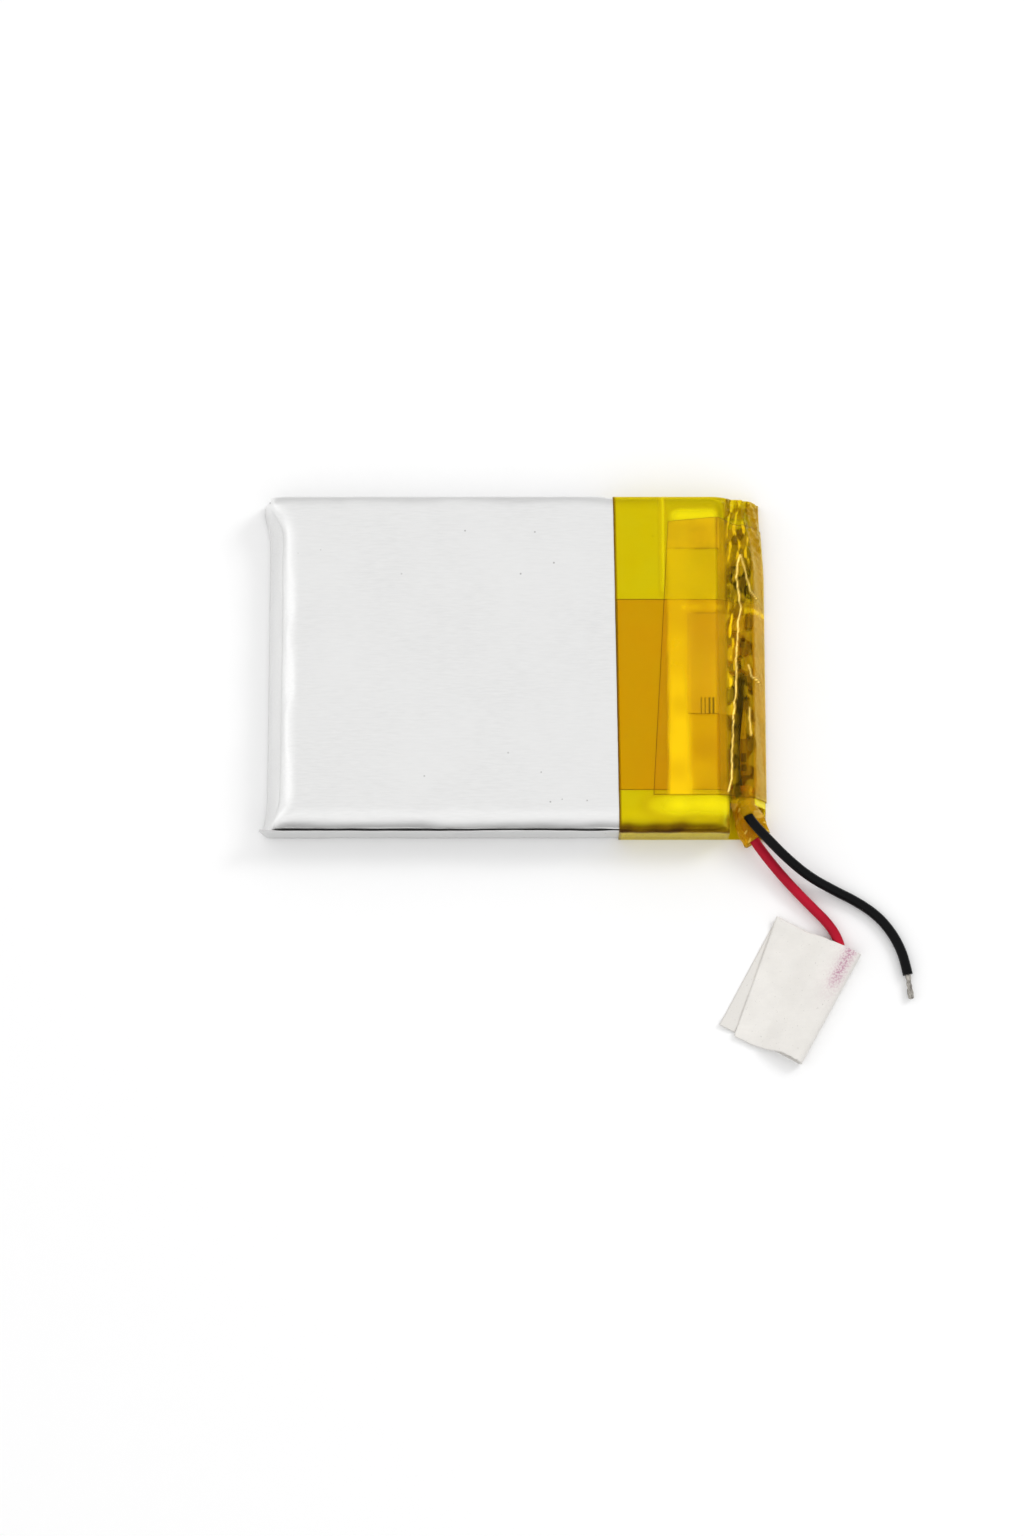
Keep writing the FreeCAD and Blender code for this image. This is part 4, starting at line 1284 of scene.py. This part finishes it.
def paper_flag():
    """The paper tape folded round the red lead's end: a profile along the tape, flat on the floor,
    round the fold and back over the lead, carried across the tape's width, then turned into place.
    The upper layer is cut askew, and small waves and curled corners lift it."""
    path = np.array(
        [
            (-9.05, 0.07),
            (-0.3, 0.07),
            (0.0, 0.3),
            (0.02, 0.75),
            (-0.15, 1.2),
            (-0.6, 1.34),
            (-1.6, 1.32),
            (-3.2, 1.02),
            (-5.2, 0.42),
            (-8.4, 0.2),
        ]
    )
    steps = np.concatenate(
        [np.linspace(0, 1, 40), np.linspace(1, 6, 40)[1:], np.linspace(6, 9, 44)[1:]]
    )
    v = np.linspace(0.0, 12.45, 84)
    uu, yy = lattice(steps, v)
    xx = np.interp(uu, range(10), path[:, 0])
    zz = np.interp(uu, range(10), path[:, 1])
    rear = 1 - smooth(uu, 0.0, 1.0)
    front = smooth(uu, 6.0, 9.0)
    share = yy / 12.4
    xx = xx + front * (1.25 - 2.0 * share) + rear * (0.1 - 0.15 * share)
    yy = yy + rear * (-0.45 - 0.25 * share) + front * (-0.75 + 0.2 * share)
    crumple = noise(xx, yy, 2.2, 111) - 0.4
    zz = zz + smooth(uu, 1.5, 4.0) * (0.1 * crumple + 0.05 * (noise(xx, yy, 0.8, 112) - 0.5))
    top_corner = smooth(share, 0.86, 1.0) * (smooth(uu, 7.6, 9.0) + 0.6 * bell(uu, 3.0, 1.2))
    low_corner = smooth(share, 0.12, 0.0) * smooth(uu, 8.3, 9.0)
    zz = zz + 0.4 * top_corner + 0.15 * low_corner
    zz = zz + 0.25 * rear * (smooth(share, 0.9, 1.0) + smooth(share, 0.1, 0.0)) * smooth(
        rear, 0.85, 1.0
    )
    zz = np.maximum(zz, 0.07)
    ragged = 0.09 * (noise(uu * 3.0, 0 * uu, 0.7, 113) - 0.5)
    yy = yy + ragged * (smooth(share, 0.96, 1.0) - smooth(share, 0.04, 0.0))
    over = smooth(uu, 3.5, 4.5)
    stain = 0.85 * bell(xx, -1.05, 0.5) * smooth(yy, 7.4, 9.4) * over
    halo = 0.28 * bell(xx, -0.9, 1.3) * smooth(yy, 4.5, 9.5) * over
    # Painted shading of the crepe folds: light and dark streaks along the tape, carried by the layer
    # mark.
    streaks = 0.25 * noise(xx, yy * 0.12, 1.3, 114) + 0.15 * noise(xx, yy * 0.3, 0.5, 115)
    turn = math.radians(-29.1)
    px = 28.35 + xx * math.cos(turn) - yy * math.sin(turn)
    py = -39.95 + xx * math.sin(turn) + yy * math.cos(turn)
    marks = {"stain": np.clip(stain + halo, 0, 1), "layer": smooth(uu, 3.0, 5.0) * (0.7 + streaks)}
    points = np.stack([px, py, zz], axis=-1)
    piece = surface("paper_flag", points, marks=marks)
    solid = piece.modifiers.new("Thickness", "SOLIDIFY")
    solid.thickness = 0.12 * MM
    solid.offset = 0.0
    return piece


class BATTERY_OT_flag(bpy.types.Operator):
    """Makes the folded flag of paper tape and gives it its material."""

    bl_idname = "battery.flag"
    bl_label = "Flag"

    def execute(self, context):
        choice = settings("flag")
        flag = paper_flag()
        finish = paper_finish("creped_paper", choice.paper, choice.stain)
        finish_piece(flag, finish, "masking_tape", "masking_tape_flag")
        return {"FINISHED"}


# ---------------------------------------------------------------- carried-over parts

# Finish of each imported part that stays: low and high tone, grain per metre, roughness, metallic,
# relief.
PART_FINISHES = {
    "black_coating": ((0.01, 0.01, 0.012), (0.04, 0.04, 0.045), 3000, 0.7, 0, 0.3),
    "grey_coating": ((0.03, 0.03, 0.035), (0.07, 0.07, 0.08), 3000, 0.6, 0, 0.3),
    "white_film": ((0.7, 0.7, 0.7), (0.85, 0.85, 0.85), 900, 0.5, 0, 0.1),
    "green_film": ((0.02, 0.2, 0.1), (0.04, 0.3, 0.16), 900, 0.35, 0, 0.1),
    "nickel_strip": ((0.5, 0.47, 0.42), (0.68, 0.64, 0.58), (600, 4000, 600), 0.3, 1, 0.2),
    "aluminium_strip": ((0.6, 0.6, 0.6), (0.8, 0.8, 0.8), (600, 4000, 600), 0.34, 1, 0.2),
    "seal_resin": ((0.5, 0.48, 0.44), (0.7, 0.68, 0.62), 1500, 0.4, 0, 0.15),
    "fish_paper": ((0.45, 0.32, 0.16), (0.62, 0.46, 0.24), (1200, 3600, 1200), 0.7, 0, 0.3),
    "glass_laminate": ((0.62, 0.5, 0.3), (0.85, 0.72, 0.48), 2500, 0.4, 0, 0.25),
    "moulded_resin": ((0.008, 0.008, 0.009), (0.025, 0.024, 0.024), 5000, 0.5, 0, 0.4),
    "tin_plate": ((0.55, 0.54, 0.52), (0.78, 0.77, 0.75), 2500, 0.3, 1, 0.3),
    "fired_ceramic": ((0.1, 0.06, 0.04), (0.2, 0.13, 0.08), 6000, 0.45, 0, 0.3),
    "solder_joint": ((0.3, 0.29, 0.27), (0.6, 0.59, 0.56), 1600, 0.28, 1, 0.5),
}
PART_PATTERNS = (
    ("anode_strip", "black_coating"),
    ("cathode_strip", "grey_coating"),
    ("separator_strips", "white_film"),
    ("roll_end_tape", "green_film"),
    ("negative_tab", "nickel_strip"),
    ("positive_tab", "aluminium_strip"),
    ("tab_seal_films", "seal_resin"),
    ("terrace_insulation_strip", "fish_paper"),
    ("protection_board", "glass_laminate"),
    ("nickel_pad_negative", "nickel_strip"),
    ("nickel_pad_positive", "nickel_strip"),
    ("protection_chip", "moulded_resin"),
    ("mosfet_chip", "moulded_resin"),
    ("protection_chip_leads", "tin_plate"),
    ("mosfet_leads", "tin_plate"),
    ("chip_resistor_1", "fired_ceramic"),
    ("chip_resistor_2", "fired_ceramic"),
    ("chip_capacitor", "fired_ceramic"),
    ("red_lead_conductor", "tin_plate"),
    ("black_lead_solder", "solder_joint"),
    ("red_lead_solder", "solder_joint"),
)


class BATTERY_OT_carried_parts(bpy.types.Operator):
    """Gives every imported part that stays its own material."""

    bl_idname = "battery.carried_parts"
    bl_label = "Board and Inner Parts"

    def execute(self, context):
        finishes = {
            name: plain_finish(name, *values) for name, values in PART_FINISHES.items()
        }
        for node, finish in PART_PATTERNS:
            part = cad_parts.get(node)
            if part is None:
                raise RuntimeError(f"the packed model has no part named {node}")
            for slot in part.material_slots:
                slot.material = finishes[finish]
        return {"FINISHED"}


# ---------------------------------------------------------------- panel and run


class BatterySettings(bpy.types.PropertyGroup):
    """All the battery pack's settings."""

    pouch: bpy.props.PointerProperty(type=PouchSettings, name="Pouch", description="Foil pouch")
    tapes: bpy.props.PointerProperty(type=TapeSettings, name="Films", description="Amber films")
    leads: bpy.props.PointerProperty(type=LeadSettings, name="Leads", description="Two leads")
    flag: bpy.props.PointerProperty(type=FlagSettings, name="Flag", description="Paper flag")
    stage: bpy.props.PointerProperty(type=StageSettings, name="Stage", description="Studio")


class VIEW3D_PT_battery(bpy.types.Panel):
    """Lists the battery pack's pieces and their settings."""

    bl_label = "Battery Pack"
    bl_space_type = "VIEW_3D"
    bl_region_type = "UI"
    bl_category = "Battery"

    def draw(self, context):
        chosen = context.scene.battery_pack
        for operator in BUILD_ORDER:
            self.layout.operator(operator.bl_idname)
        for group in (chosen.pouch, chosen.tapes, chosen.leads, chosen.flag, chosen.stage):
            box = self.layout.box()
            for name in group.__annotations__:
                box.prop(group, name)


BUILD_ORDER = (
    BATTERY_OT_stage,
    BATTERY_OT_leads,
    BATTERY_OT_pouch,
    BATTERY_OT_films,
    BATTERY_OT_flag,
    BATTERY_OT_carried_parts,
)
CLASSES = (
    PouchSettings,
    TapeSettings,
    LeadSettings,
    FlagSettings,
    StageSettings,
    BatterySettings,
    *BUILD_ORDER,
    VIEW3D_PT_battery,
)


def register():
    """Registers the add-on's classes and settings."""
    for item in CLASSES:
        bpy.utils.register_class(item)
    bpy.types.Scene.battery_pack = bpy.props.PointerProperty(type=BatterySettings)


def unregister():
    """Removes the settings and classes again."""
    del bpy.types.Scene.battery_pack
    for item in reversed(CLASSES):
        bpy.utils.unregister_class(item)


def main():
    """Builds the whole battery pack."""
    register()
    for operator in BUILD_ORDER:
        getattr(bpy.ops.battery, operator.bl_idname.split(".")[1])()
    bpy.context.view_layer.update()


if __name__ == "__main__":
    main()
